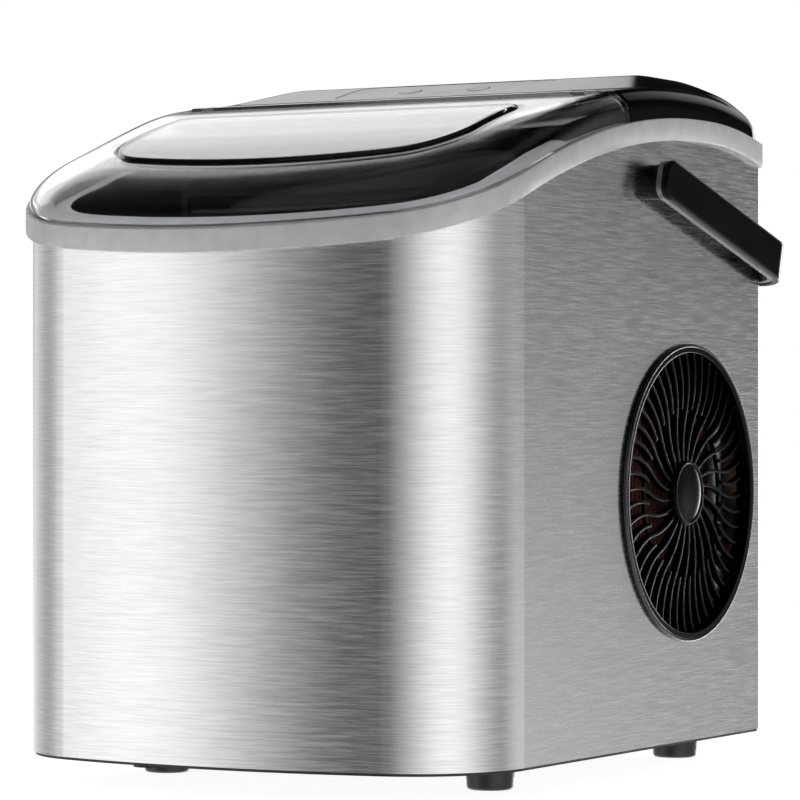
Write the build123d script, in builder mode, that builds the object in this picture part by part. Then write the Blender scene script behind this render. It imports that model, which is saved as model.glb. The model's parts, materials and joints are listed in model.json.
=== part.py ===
from build123d import *
import os
from math import atan2, cos, degrees, radians, sin, sqrt

# Countertop ice maker: steel-wrapped body with a bowed front, a crown-shaped top closed by a clear
# hinged lid, a fan-cooled refrigeration set at the rear and an ice-making unit above a water tub.
# Millimetres. +X is the user's right facing the front, -Y is the front, +Z is up. The origin is on the
# standing surface, in the middle of the overall width and depth.

# ---------------------------------------------------------------- body, plan and crown
body_half_width = 112.0  # outer face of the steel wrap
shell_front_y = -143.95  # front-most point of the bowed front
shell_rear_y = 135.85
shell_bottom_z = 12.7
shell_wall = 0.8
bow_radius = 310.9
corner_radius = 49.7
rear_fold_radius = 2.0
fit_gap = 0.3  # between pieces that are set into one another
seat_gap = 0.2  # between curved pieces that lie on one another

# Height of the crown line, along the depth of the body. Everything on top follows it.
crown_points = [
    (-152.35, 213.6),
    (-121.25, 225.4),
    (-79.25, 241.6),
    (-16.05, 259.1),
    (57.75, 267.7),
    (108.25, 265.8),
    (143.65, 258.4),
]
prism_bottom = 150.0  # plan prisms that get trimmed by the crown start here
prism_height = 200.0
crown_half_span = 160.0

# ---------------------------------------------------------------- top pieces
ring_height = 9.4  # of the trim ring's skirt
ring_proud = 3.0
ring_ledge = 9.0  # how far the ledge reaches inside the steel's face
ring_thickness = 3.0
ring_lip_wall = 2.0
ring_lip_depth = 8.0
hood_outset = 1.6  # lid and rear cover, over the steel's face
hood_rise = 13.3  # lid and rear cover, above the ring
hood_round = 11.0
hood_rear_corner = 13.0
hood_wall = 2.5
hinge_y = 1.65
hinge_depth = 1.8  # axis below the top surface, and ahead of the lid's rear edge
hinge_pin_radius = 1.0
hinge_pin_clearance = 0.05
hinge_gap = 0.3
lug_x = 91.0
lug_width = 6.0
pin_length = 14.0
window_half_width = 83.0
window_inset = 36.0  # window's front edge behind the lid's front
window_rear_y = -32.35
window_corner = 22.0
window_rear_corner = 7.0
window_rise = 2.3
window_bevel = 1.5
groove_width = 1.4
groove_depth = 1.2

# ---------------------------------------------------------------- control panel
plateau_front_y = 31.95
plateau_ridge_y = 67.65
plateau_back_y = 103.65
plateau_toe_y = 127.65
plateau_rise = 7.38  # console ridge, above the cover's crown
plateau_half_width = 86.0
plateau_side_slope = 23.0
panel_width = 100.0
panel_depth = 29.0
panel_corner = 7.0
panel_thickness = 0.9
panel_y = 49.95
button_radius = 5.0
button_spacing = 34.0
button_gap = 0.2
button_travel = 0.8
button_height = 5.2

# ---------------------------------------------------------------- base and feet
base_drop = 1.2  # base shows below the steel
base_thickness = 3.0
base_wall = 2.0
base_lip = 8.0
foot_side = 34.1  # foot's centre, inside the steel's face
foot_front_y = -51.75
foot_rear_y = 119.95
foot_top_radius = 10.4
foot_bottom_radius = 9.5
foot_screw_radius = 2.0
screw_clearance = 0.1

# ---------------------------------------------------------------- rear panel
return_flange = 9.0
rear_slot = (34.0, 3.2)
rear_slot_pitch = (46.0, 8.0)
rear_slot_grid = (3, 9)
rear_slots_z = 168.0
gland_side = 34.0  # gland's centre, inside the steel's face
gland_z = 42.0
gland_neck = 6.0
gland_flange = 9.0
gland_bore = 3.5
gland_lip = 2.0
panel_screw_radius = 1.6
panel_screw_head = 3.0
panel_screw_inset = 3.2  # screw's line, inside the panel's edge
panel_screw_z = (30.0, 135.0, 240.0)

# ---------------------------------------------------------------- handle
pivot_y = 28.35
pivot_z = 248.6
pivot_radius = 7.4
pivot_boss = 5.0
pivot_pin_radius = 4.0
pivot_clearance = 0.05
strap_width = 17.0
strap_thickness = 5.5
strap_gap = 0.4  # between the boss and the strap
strap_corner = 13.0
strap_end_round = 6.0
strap_edge = 0.8
handle_tilt = 15.5

# ---------------------------------------------------------------- side grilles
grille_y = 62.05
grille_z = 118.2
grille_radius = 63.3
grille_proud = 1.8
grille_bezel = 3.6
grille_depth = 7.0
grille_hub_radius = 13.8
grille_neck_gap = 0.3
rib_count = 48
rib_width = 1.3
rib_depth = 3.2
support_ring_radius = 36.0

# ---------------------------------------------------------------- tub, basket and deck
tub_inset = 14.0
tub_wall = 2.0
tub_floor_z = 64.0
tub_rear_y = -4.35
tub_rim = 10.0  # width of the tub's top flange
tub_corner = 8.0
foam_gap = 0.5
foam_bottom_z = 64.5
basket_inset = 24.5
basket_rear_y = -66.35
basket_top_z = 202.0
basket_height = 74.0
basket_wall = 1.8
basket_slot = 3.0
basket_slot_pitch = 14.0
ledge_y = -80.35
ledge_length = 22.0
ledge_depth = 6.5
ledge_height = 6.0
drain_x = -60.0
drain_y = -92.35
drain_bore = 5.0
drain_wall = 2.0
plug_seat = 5.0
plug_flange = 2.6
sensor_y = -80.35
sensor_z = 222.0
sensor_depth = 6.0
sensor_width = 10.0
sensor_eye = 2.5
deck_front_y = -48.35
deck_rise = 6.0
deck_wall = 2.5
deck_edge = 3.5  # deck's side, inside the steel's face
deck_round = 2.0

# ---------------------------------------------------------------- ice unit
tray_axis_y = -22.35
tray_axis_z = 228.0
tray_width = 34.0
tray_length = 104.0
tray_height = 27.0
tray_wall = 1.6
tray_pin_radius = 3.0
tray_boss_radius = 5.0
running_clearance = 0.05
finger_count = 8
finger_radius = 4.5
finger_length = 26.0
finger_margin = 4.0  # tray's length left over by the row of fingers
block_overhang = 1.0  # evaporator block past the row of fingers, at each end
evaporator_depth = 16.0
evaporator_height = 13.0
frame_top_z = 249.0
frame_sheet = 3.0
tray_end_gap = 8.0  # each end of the tray, inside the frame's cheek
frame_front_y = -68.35
cheek_bottom_z = 214.0
shovel_y = -62.35
shovel_z = 236.0
shovel_drop = 18.0
shovel_sheet = 2.0
shovel_hub = 4.0
motor_length = 18.0
motor_width = 26.0
motor_height = 24.0
coolant_tube_radius = 3.0
hose_radius = 2.4
pump_x = 40.0
pump_y = -40.0
pump_radius = 15.0
pump_height = 34.0
pump_outlet_z = 30.0

# ---------------------------------------------------------------- machine compartment
bulkhead_y = 1.65
bulkhead_thickness = 2.0
bulkhead_side = 6.0  # bulkhead's edge, inside the steel's face
bulkhead_top_z = 252.0
board_x = -58.0
board_z = 208.0
board_width = 76.0
board_height = 70.0
board_thickness = 1.6
board_hole_inset = 4.0
board_components = (  # across and up from the board's middle, width, height, depth
    (-24.0, 14.0, 18.0, 20.0, 15.0),
    (2.0, 18.0, 14.0, 12.0, 12.0),
    (2.0, 0.0, 14.0, 12.0, 12.0),
    (24.0, 16.0, 12.0, 22.0, 8.0),
    (-8.0, -22.0, 40.0, 8.0, 7.0),
)
standoff_length = 6.0
standoff_radius = 3.0
rear_panel_thickness = 1.0
condenser_side = 25.5  # condenser's inner face, inside the steel's face
condenser_y = 69.35
condenser_thickness = 13.5
condenser_bottom_z = 62.0
condenser_top_z = 174.0
condenser_half_depth = 44.0
fin_pitch = 3.6
fin_thickness = 0.6
coolant_rows = 5
bracket_sheet = 1.2
bracket_gap = 2.0
shroud_sheet = 1.6
shroud_depth = 18.0
fan_radius = 42.0
fan_hub_radius = 14.0
fan_blade_count = 7
fan_blade_pitch = 32.0
fan_blade_depth = 11.0
fan_blade_thickness = 1.4
fan_blade_chord = 24.0
rotor_gap = 1.5  # between the rotor and the shroud's arms
fan_tip_gap = 2.5
fan_shaft_radius = 2.0
fan_motor_radius = 18.0
fan_motor_length = 22.0
compressor_x = -44.0
compressor_y = 69.65
compressor_radius = 46.0
compressor_bottom_z = 26.0
compressor_height = 132.0
compressor_dome = 14.0
compressor_foot_inset = 6.0
grommet_land = 3.0
grommet_radius = 7.0
grommet_circle = 54.0
compressor_sheet = 2.5
compressor_seam = (0.55, 1.5, 3.0)  # seam's place up the can, how far it stands out, its height
terminal_angle = -40.0
terminal_rise = 45.0
terminal_size = (30.0, 34.0, 4.0)  # width, height, corner radius
terminal_depth = 12.0
bolt_radius = 3.0
drier_radius = 8.0
drier_length = 46.0
drier_place = (22.0, 104.0)
drier_z = 96.0

# ---------------------------------------------------------------- derived places
bow_centre_y = shell_front_y + bow_radius
corner_x = body_half_width - corner_radius
corner_y = bow_centre_y - sqrt((bow_radius - corner_radius) ** 2 - corner_x**2)
bow_angle = degrees(atan2(corner_x, bow_centre_y - corner_y))
hood_top = ring_height + hood_rise  # above the crown line
lid_rear_y = hinge_y + hinge_depth
hinge_barrel = hinge_depth * sqrt(2)
cover_front_y = hinge_y + hinge_barrel + hinge_gap
base_bottom_z = shell_bottom_z - base_drop
base_top_z = base_bottom_z + base_thickness
shell_inside_x = body_half_width - shell_wall
foot_x = body_half_width - foot_side
gland_x = gland_side - body_half_width
bulkhead_half = body_half_width - bulkhead_side
condenser_x = body_half_width - condenser_side
rear_panel_face = shell_rear_y - shell_wall
rear_panel_half = shell_inside_x - rear_fold_radius
rear_holes = [(side * (rear_panel_half - panel_screw_inset), z) for z in panel_screw_z for side in (-1, 1)]


def body_sketch(outset, rear=None):
    """Plan of the body offset outwards, closed at y = rear, or by the same offset from the steel's rear."""
    rear_line = shell_rear_y + outset if rear is None else rear
    side = body_half_width + outset
    corner = corner_radius + outset
    with BuildSketch(Plane.XY.offset(prism_bottom)) as plan:
        with BuildLine():
            CenterArc((0, bow_centre_y), bow_radius + outset, 270 - bow_angle, 2 * bow_angle)
            CenterArc((corner_x, corner_y), corner, 270 + bow_angle, 90 - bow_angle)
            CenterArc((-corner_x, corner_y), corner, 180, 90 - bow_angle)
            Polyline((side, corner_y), (side, rear_line), (-side, rear_line), (-side, corner_y))
        make_face()
    return plan.sketch


def under_crown(rise):
    """Block that fills the space below the crown line raised by rise."""
    with BuildPart() as block:
        with BuildSketch(Plane.YZ):
            with BuildLine():
                crown = Spline(*[(y, z + rise) for y, z in crown_points])
                Polyline(crown @ 1, (crown_points[-1][0], 0), (crown_points[0][0], 0), crown @ 0)
            make_face()
        extrude(amount=crown_half_span, both=True)
    return block.part


def crown_band(outset, inset, low, high):
    """Ring between two plan offsets and between the crown line raised by low and by high."""
    with BuildPart() as band:
        extrude(body_sketch(outset), amount=prism_height)
        extrude(body_sketch(-inset), amount=prism_height, mode=Mode.SUBTRACT)
        add(under_crown(high), mode=Mode.INTERSECT)
        add(under_crown(low), mode=Mode.SUBTRACT)
    return band.part


def crown_height(y):
    """Height of the crown line at y."""
    crown = Spline(*[(point_y, z) for point_y, z in crown_points])
    line = Line((y, 0), (y, 400))
    return crown.intersect(line).vertices()[0].Y


def hood_form(inset):
    """Outer form shared by the lid and the rear cover, with its faces moved inwards by inset."""
    with BuildPart() as form:
        extrude(body_sketch(hood_outset - inset), amount=prism_height)
        rear_edges = form.edges().filter_by(Axis.Z).group_by(Axis.Y)[-1]
        fillet(rear_edges, radius=hood_rear_corner - inset)
        add(under_crown(hood_top - inset), mode=Mode.INTERSECT)
        top_face = form.faces().sort_by(Axis.Z)[-1]
        fillet(top_face.outer_wire().edges(), radius=hood_round - inset)
    return form.part


def slab_between(low_y, high_y):
    """Tall block that spans the body's width between two planes across the depth."""
    with BuildPart() as slab:
        with BuildSketch(Plane.XY):
            with Locations((0, (low_y + high_y) / 2)):
                Rectangle(2 * crown_half_span, high_y - low_y)
        extrude(amount=prism_bottom + prism_height)
    return slab.part


def save(name, piece):
    """Labels a finished piece and writes it as the STEP file of that name."""
    piece.label = name
    export_step(piece, f"parts/{name}.step")


os.makedirs("parts", exist_ok=True)

# ================================================================ casing
# ---- steel wrap: front and both sides in one bent sheet, folded in a little at the rear
shell_into_ring = 5.0
with BuildPart() as outer_shell:
    extrude(Pos(0, 0, shell_bottom_z - prism_bottom) * body_sketch(0), amount=prism_height + prism_bottom)
    fillet(outer_shell.edges().filter_by(Axis.Z).group_by(Axis.Y)[-1], radius=rear_fold_radius)
    extrude(
        Pos(0, 0, -prism_bottom) * body_sketch(-shell_wall),
        amount=prism_height + 2 * prism_bottom,
        mode=Mode.SUBTRACT,
    )
    with BuildSketch(Plane.XY):
        with Locations((0, shell_rear_y)):
            Rectangle(2 * (body_half_width - return_flange), 4 * shell_wall)
    extrude(amount=prism_height + 2 * prism_bottom, mode=Mode.SUBTRACT)
    add(under_crown(shell_into_ring), mode=Mode.INTERSECT)
    with BuildSketch(Plane.YZ):
        with Locations((grille_y, grille_z)):
            Circle(grille_radius - grille_bezel / 2)
        with Locations((pivot_y, pivot_z)):
            Circle(pivot_pin_radius + fit_gap)
    extrude(amount=crown_half_span, both=True, mode=Mode.SUBTRACT)
    with BuildSketch(Plane.XZ.offset(-rear_panel_face)):
        with Locations(*rear_holes):
            Circle(panel_screw_radius + screw_clearance)
    extrude(amount=-2 * shell_wall, mode=Mode.SUBTRACT)
save("outer_shell", outer_shell.part)

# ---- silver trim ring that caps the wrap: skirt, ledge for the lid, lip inside the steel
with BuildPart() as trim_ring:
    add(crown_band(ring_proud, -seat_gap, 0, ring_height))
    add(crown_band(ring_proud, ring_ledge, ring_height - ring_thickness, ring_height))
    lip_face = shell_wall + fit_gap
    add(
        crown_band(
            -lip_face,
            lip_face + ring_lip_wall,
            ring_height - ring_thickness - ring_lip_depth,
            ring_height - ring_thickness,
        )
    )
save("trim_ring", trim_ring.part)

# ---- base pan: floor of the machine, inside the foot of the wrap
base_inset = shell_wall + fit_gap
vent_count = 7
vent_pitch = 9.0
vent_slot = (60.0, 3.0)
with BuildPart() as base_pan:
    base_plan = Pos(0, 0, base_bottom_z - prism_bottom) * body_sketch(-base_inset)
    extrude(base_plan, amount=base_thickness + base_lip)
    extrude(
        Pos(0, 0, base_top_z - prism_bottom) * body_sketch(-base_inset - base_wall),
        amount=base_lip,
        mode=Mode.SUBTRACT,
    )
    with BuildSketch(Plane.XY.offset(base_bottom_z)):
        with Locations((0, foot_rear_y - 2 * vent_pitch)):
            with GridLocations(0, vent_pitch, 1, vent_count):
                SlotOverall(*vent_slot)
    extrude(amount=base_thickness, mode=Mode.SUBTRACT)
    with BuildSketch(Plane.XY.offset(base_bottom_z)):
        for y in (foot_front_y, foot_rear_y):
            with Locations((foot_x, y), (-foot_x, y)):
                Circle(foot_screw_radius + screw_clearance)
        with Locations((drain_x, drain_y)):
            Circle(drain_bore + drain_wall + fit_gap)
    extrude(amount=base_thickness, mode=Mode.SUBTRACT)
save("base_pan", base_pan.part)

# ---- feet, one screw each
foot_height = base_bottom_z
foot_edge_round = 1.2
foot_bore_depth = 8.0
screw_head_radius = 3.8
screw_head_height = 2.4
foot_places = {
    "foot_front_left": (-foot_x, foot_front_y),
    "foot_front_right": (foot_x, foot_front_y),
    "foot_rear_left": (-foot_x, foot_rear_y),
    "foot_rear_right": (foot_x, foot_rear_y),
}
for foot_name, (x, y) in foot_places.items():
    with BuildPart() as foot:
        with BuildSketch(Plane.XY):
            with Locations((x, y)):
                Circle(foot_bottom_radius)
        with BuildSketch(Plane.XY.offset(foot_height)):
            with Locations((x, y)):
                Circle(foot_top_radius)
        loft()
        fillet(foot.faces().sort_by(Axis.Z)[0].edges(), radius=foot_edge_round)
        with BuildSketch(Plane.XY.offset(foot_height)):
            with Locations((x, y)):
                Circle(foot_screw_radius + screw_clearance)
        extrude(amount=-foot_bore_depth, mode=Mode.SUBTRACT)
    save(foot_name, foot.part)

with BuildPart() as foot_screws:
    with BuildSketch(Plane.XY.offset(base_top_z)):
        with Locations(*foot_places.values()):
            Circle(screw_head_radius)
    extrude(amount=screw_head_height)
    with BuildSketch(Plane.XY.offset(base_top_z)):
        with Locations(*foot_places.values()):
            Circle(foot_screw_radius)
    extrude(amount=-(base_thickness + foot_bore_depth - 1))
save("foot_screws", foot_screws.part)

# ---- rear panel, screwed against the wrap's return flanges, with air slots
rear_panel_top = crown_height(shell_rear_y) - ring_lip_depth
with BuildPart() as rear_panel:
    with BuildSketch(Plane.XZ.offset(-rear_panel_face)):
        with Locations((0, (base_top_z + base_lip + rear_panel_top) / 2)):
            Rectangle(2 * rear_panel_half, rear_panel_top - base_top_z - base_lip)
        with Locations((0, rear_slots_z)):
            with GridLocations(*rear_slot_pitch, *rear_slot_grid):
                SlotOverall(*rear_slot, mode=Mode.SUBTRACT)
        with Locations((gland_x, gland_z)):
            Circle(gland_neck + screw_clearance, mode=Mode.SUBTRACT)
        with Locations(*rear_holes):
            Circle(panel_screw_radius + screw_clearance, mode=Mode.SUBTRACT)
    extrude(amount=rear_panel_thickness)
save("rear_panel", rear_panel.part)

with BuildPart() as rear_panel_screws:
    with BuildSketch(Plane.XZ.offset(-shell_rear_y)):
        with Locations(*rear_holes):
            Circle(panel_screw_head)
    extrude(amount=-panel_screw_radius)
    with BuildSketch(Plane.XZ.offset(-shell_rear_y)):
        with Locations(*rear_holes):
            Circle(panel_screw_radius)
    extrude(amount=2 * panel_screw_head)
save("rear_panel_screws", rear_panel_screws.part)

with BuildPart() as cord_gland:
    with BuildSketch(Plane.XZ.offset(-rear_panel_face)):
        with Locations((gland_x, gland_z)):
            Circle(gland_flange)
    extrude(amount=-gland_lip)
    with BuildSketch(Plane.XZ.offset(-rear_panel_face)):
        with Locations((gland_x, gland_z)):
            Circle(gland_neck)
    extrude(amount=rear_panel_thickness + gland_lip)
    with BuildSketch(Plane.XZ.offset(-rear_panel_face + gland_lip)):
        with Locations((gland_x, gland_z)):
            Circle(gland_bore)
    extrude(amount=4 * gland_lip, both=True, mode=Mode.SUBTRACT)
save("cord_gland", cord_gland.part)

# ================================================================ lid, rear cover and control panel
hinge_z = crown_height(lid_rear_y) + hood_top - hinge_depth
hood_base = ring_height + seat_gap  # underside of lid and cover, above the crown line
lug_gap = 0.4


def window_sketch(grow, height):
    """Plan of the lid's raised window, grown outwards by grow."""
    front_y = -(hood_outset - shell_front_y) + window_inset - grow
    bow = bow_radius + hood_outset - window_inset + grow
    half = window_half_width + grow
    with BuildSketch(Plane.XY.offset(height)) as plan:
        with BuildLine():
            flank_y = bow_centre_y - sqrt(bow**2 - half**2)
            ThreePointArc((-half, flank_y), (0, front_y), (half, flank_y))
            rear_y = window_rear_y + grow
            Polyline((half, flank_y), (half, rear_y), (-half, rear_y), (-half, flank_y))
        make_face()
        corners = plan.vertices().group_by(Axis.Y)
        fillet(corners[0], radius=window_corner + grow)
        fillet(plan.vertices().group_by(Axis.Y)[-1], radius=window_rear_corner + grow)
    return plan.sketch


def hinge_cylinder(radius, centre_x, length):
    """Cylinder on the lid's hinge axis."""
    with BuildPart() as barrel:
        with BuildSketch(Plane.YZ.offset(centre_x - length / 2)):
            with Locations((hinge_y, hinge_z)):
                Circle(radius)
        extrude(amount=length)
    return barrel.part


# ---- clear lid: moulded shell with a raised window and a rolled hinge bead
bead_half = body_half_width - hood_round - 2
lid_rear_room = slab_between(lid_rear_y, lid_rear_y + 400)
with BuildPart() as window_pad:
    extrude(window_sketch(0, prism_bottom), amount=prism_height)
    add(under_crown(hood_top + window_rise), mode=Mode.INTERSECT)
    chamfer(window_pad.faces().sort_by(Axis.Z)[-1].outer_wire().edges(), length=window_bevel)
with BuildPart() as groove_ring:
    extrude(window_sketch(groove_width, prism_bottom), amount=prism_height)
    extrude(window_sketch(0, prism_bottom), amount=prism_height, mode=Mode.SUBTRACT)
    add(under_crown(hood_top - groove_depth), mode=Mode.SUBTRACT)
with BuildPart() as lid:
    add(hood_form(0))
    add(lid_rear_room, mode=Mode.SUBTRACT)
    add(window_pad.part)
    add(groove_ring.part, mode=Mode.SUBTRACT)
    add(hood_form(hood_wall), mode=Mode.SUBTRACT)
    add(under_crown(hood_base), mode=Mode.SUBTRACT)
    add(hinge_cylinder(hinge_barrel, 0, 2 * bead_half))
    for side in (-1, 1):
        add(hinge_cylinder(hinge_barrel + lug_gap, side * lug_x, lug_width + 2 * lug_gap), mode=Mode.SUBTRACT)
        add(
            hinge_cylinder(hinge_pin_radius + hinge_pin_clearance, side * lug_x, pin_length + 1),
            mode=Mode.SUBTRACT,
        )
save("lid", lid.part)

# ---- hinge pins
with BuildPart() as hinge_pins:
    for side in (-1, 1):
        add(hinge_cylinder(hinge_pin_radius, side * lug_x, pin_length))
save("hinge_pins", hinge_pins.part)

# ---- control panel's place on the plateau
plateau_foot_z = crown_height(plateau_front_y) + hood_top
plateau_height = crown_height(plateau_ridge_y) + hood_top + plateau_rise
plateau_toe_z = crown_height(plateau_toe_y) + hood_top - 1
face_tilt = degrees(atan2(plateau_height - plateau_foot_z, plateau_ridge_y - plateau_front_y))
panel_z = plateau_foot_z + (panel_y - plateau_front_y) * (plateau_height - plateau_foot_z) / (
    plateau_ridge_y - plateau_front_y
)
panel_plane = Plane(
    origin=(0, panel_y, panel_z),
    x_dir=(1, 0, 0),
    z_dir=(0, -sin(radians(face_tilt)), cos(radians(face_tilt))),
)


def plateau_form(inset):
    """Raised, forward-tilted console on the rear cover, with its faces moved inwards by inset."""
    with BuildPart() as form:
        with BuildSketch(Plane.YZ):
            with BuildLine():
                Polyline(
                    (plateau_front_y + inset, plateau_foot_z - hood_round),
                    (plateau_front_y + inset, plateau_foot_z - inset),
                    (plateau_ridge_y + inset / 2, plateau_height - inset),
                    (plateau_back_y, plateau_height - inset),
                    (plateau_toe_y - inset, plateau_toe_z - inset),
                    (plateau_toe_y - inset, plateau_foot_z - hood_round),
                    close=True,
                )
            make_face()
        extrude(amount=body_half_width - hood_round - inset, both=True)
        for side in (-1, 1):
            flank = Plane(
                origin=(side * (plateau_half_width - inset), 0, plateau_height - inset),
                z_dir=(side * sin(radians(plateau_side_slope)), 0, cos(radians(plateau_side_slope))),
            )
            split(bisect_by=flank, keep=Keep.BOTTOM)
    return form.part


# ---- rear cover: gloss shell with the console, its front wall, hinge lugs and recess for the panel
cover_front_room = slab_between(-400, cover_front_y)
board_drop = 7.0
board_thickness = 1.6
board_size = (92.0, 24.0)
board_post_radius = 2.5
board_posts = (76.0, 16.0)
with BuildPart() as rear_cover:
    add(hood_form(0))
    add(plateau_form(0))
    add(cover_front_room, mode=Mode.SUBTRACT)
    cover_room = hood_form(hood_wall) + plateau_form(hood_wall)
    add(cover_room - slab_between(-400, cover_front_y + hood_wall), mode=Mode.SUBTRACT)
    add(under_crown(hood_base), mode=Mode.SUBTRACT)
    with BuildSketch(panel_plane):
        RectangleRounded(
            panel_width + 2 * button_gap, panel_depth + 2 * button_gap, panel_corner + button_gap
        )
    extrude(amount=-panel_thickness, mode=Mode.SUBTRACT)
    with BuildSketch(panel_plane.offset(-panel_thickness)):
        with GridLocations(button_spacing, 1, 2, 1):
            Circle(button_radius + button_gap)
    extrude(amount=-2 * hood_wall, mode=Mode.SUBTRACT)
    with BuildSketch(panel_plane.offset(-board_drop)):
        with GridLocations(*board_posts, 2, 2):
            Circle(board_post_radius)
    extrude(amount=board_drop - panel_thickness - hood_wall / 2)
    for side in (-1, 1):
        add(hinge_cylinder(hinge_depth, side * lug_x, lug_width))
        with BuildSketch(Plane.YZ.offset(side * lug_x - lug_width / 2)):
            with Locations((hinge_y, hinge_z)):
                Rectangle(
                    cover_front_y - hinge_y + hood_wall, 2 * hinge_depth, align=(Align.MIN, Align.CENTER)
                )
        extrude(amount=lug_width)
        add(hinge_cylinder(hinge_pin_radius + 0.02, side * lug_x, pin_length), mode=Mode.SUBTRACT)
save("rear_cover", rear_cover.part)

# ---- panel film, buttons and the board under them
with BuildPart() as control_panel:
    with BuildSketch(panel_plane.offset(-panel_thickness)):
        RectangleRounded(panel_width, panel_depth, panel_corner)
        with GridLocations(button_spacing, 1, 2, 1):
            Circle(button_radius + button_gap, mode=Mode.SUBTRACT)
    extrude(amount=panel_thickness - 0.1)
save("control_panel", control_panel.part)

for button_name, side in (("power_button", 1), ("size_button", -1)):
    with BuildPart() as button:
        with BuildSketch(panel_plane):
            with Locations((side * button_spacing / 2, 0)):
                Circle(button_radius)
        extrude(amount=-button_height)
        fillet(button.faces().sort_by(Axis.Z)[-1].edges(), radius=0.3)
    save(button_name, button.part)

with BuildPart() as display_board:
    with BuildSketch(panel_plane.offset(-board_drop)):
        Rectangle(*board_size)
    extrude(amount=-board_thickness)
    with BuildSketch(panel_plane.offset(-board_drop)):
        with GridLocations(button_spacing, 1, 2, 1):
            Rectangle(4.5, 4.5)
    extrude(amount=board_drop - button_height - button_travel - 0.1)
save("display_board", display_board.part)

# ================================================================ handle
strap_outer_x = body_half_width + pivot_boss + strap_gap + strap_thickness
strap_rear_y = -(shell_front_y - ring_proud)  # stands as far behind the origin as the ring does in front
strap_drop = strap_width / 2 * sin(radians(handle_tilt))
strap_reach = (strap_rear_y - pivot_y - strap_drop) / cos(radians(handle_tilt))
strap_nose = 7.9  # arm beyond the pivot
strap_skin = 3.2  # outer half of the two-part strap
strap_step = 0.5
strap_bond = 0.02
journal_radius = 3.5
journal_length = 3.8
handle_plane = Plane(
    origin=(0, pivot_y, pivot_z),
    x_dir=(1, 0, 0),
    z_dir=(0, sin(radians(handle_tilt)), cos(radians(handle_tilt))),
)


def strap(outer_inset, thickness, width, end_round, edge_round):
    """U-shaped band lying in the handle's plane: two arms from the pivots and the grip across the rear."""
    half = strap_outer_x - outer_inset
    reach = strap_reach - outer_inset
    corner = strap_corner - outer_inset
    with BuildPart() as band:
        with BuildSketch(handle_plane.offset(-width / 2)):
            with BuildLine():
                outside = FilletPolyline(
                    (-half, -strap_nose), (-half, reach), (half, reach), (half, -strap_nose), radius=corner
                )
                inside = FilletPolyline(
                    (-half + thickness, -strap_nose),
                    (-half + thickness, reach - thickness),
                    (half - thickness, reach - thickness),
                    (half - thickness, -strap_nose),
                    radius=corner - thickness,
                )
                Line(outside @ 0, inside @ 0)
                Line(outside @ 1, inside @ 1)
            make_face()
        extrude(amount=width)
        nose_edges = [
            edge
            for edge in band.edges().filter_by(Axis.X)
            if handle_plane.to_local_coords(edge.center()).Y < -strap_nose + strap_edge
        ]
        fillet(nose_edges, radius=end_round)
        if edge_round:
            flanks = band.faces().filter_by(Axis(handle_plane.origin, handle_plane.z_dir))
            fillet(flanks.edges(), radius=edge_round)
    return band.part


def journal_sketch(radius, x):
    """Circle on the handle's axis in the plane at x."""
    with BuildSketch(Plane.YZ.offset(x)) as circle:
        with Locations((pivot_y, pivot_z)):
            Circle(radius)
    return circle.sketch


bore_end_x = body_half_width + pivot_boss + journal_length + strap_gap / 2
bore_sketch = journal_sketch(journal_radius + pivot_clearance, -bore_end_x)
with BuildPart() as handle_outer:
    add(strap(0, strap_skin, strap_width, strap_end_round, strap_edge))
    extrude(bore_sketch, amount=2 * bore_end_x, mode=Mode.SUBTRACT)
save("handle_outer", handle_outer.part)

with BuildPart() as handle_inner:
    inner_thickness = strap_thickness - strap_skin
    add(
        strap(
            strap_skin + strap_bond,
            inner_thickness,
            strap_width - 2 * strap_step,
            strap_end_round - strap_step,
            0,
        )
    )
    extrude(bore_sketch, amount=2 * bore_end_x, mode=Mode.SUBTRACT)
save("handle_inner", handle_inner.part)

# ---- pivots: boss outside the steel, neck through it, flange inside, journal for the strap
pivot_flange = 1.6
for pivot_name, side in (("handle_pivot_right", 1), ("handle_pivot_left", -1)):
    face_x = side * body_half_width
    inner_x = side * shell_inside_x
    with BuildPart() as pivot:
        extrude(journal_sketch(pivot_radius, face_x), amount=side * pivot_boss)
        chamfer(pivot.faces().sort_by(Axis.X)[-1 if side > 0 else 0].edges(), length=0.6)
        extrude(journal_sketch(journal_radius, face_x), amount=side * (pivot_boss + journal_length))
        extrude(journal_sketch(pivot_pin_radius, face_x), amount=-side * (shell_wall + pivot_flange))
        extrude(journal_sketch(pivot_radius, inner_x), amount=-side * pivot_flange)
    save(pivot_name, pivot.part)

# ================================================================ side grilles
# Each is one moulding: a bezel ring, a domed hub, a support ring and swirling ribs. Every second rib
# runs from the bezel to the hub, the ones between end on the support ring.
grille_face_x = body_half_width + grille_proud
grille_back_x = grille_face_x - grille_depth
bezel_bore = grille_radius - grille_bezel
rib_face_inset = 2.6  # ribs lie this far behind the bezel's face
hub_inset = 1.6
support_ring_width = 1.2
support_ring_depth = 1.6
# Swirl of a rib, as shares of the bore's radius and degrees ahead of the rib's outer end: it leaves the
# bezel leaning back, crosses over, and sweeps forward to the hub.
rib_outer_end = (1.01, 0.0)
rib_lean = (0.82, -3.2)
rib_crossing = (0.58, -0.5)
rib_inner_end = (0.2, 11.0)


def swirl_point(station):
    """Point of the grille's plane at a share of the bore's radius and an angle in degrees."""
    share, angle = station
    radius = bezel_bore * share
    return (radius * cos(radians(angle)), radius * sin(radians(angle)))


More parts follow.
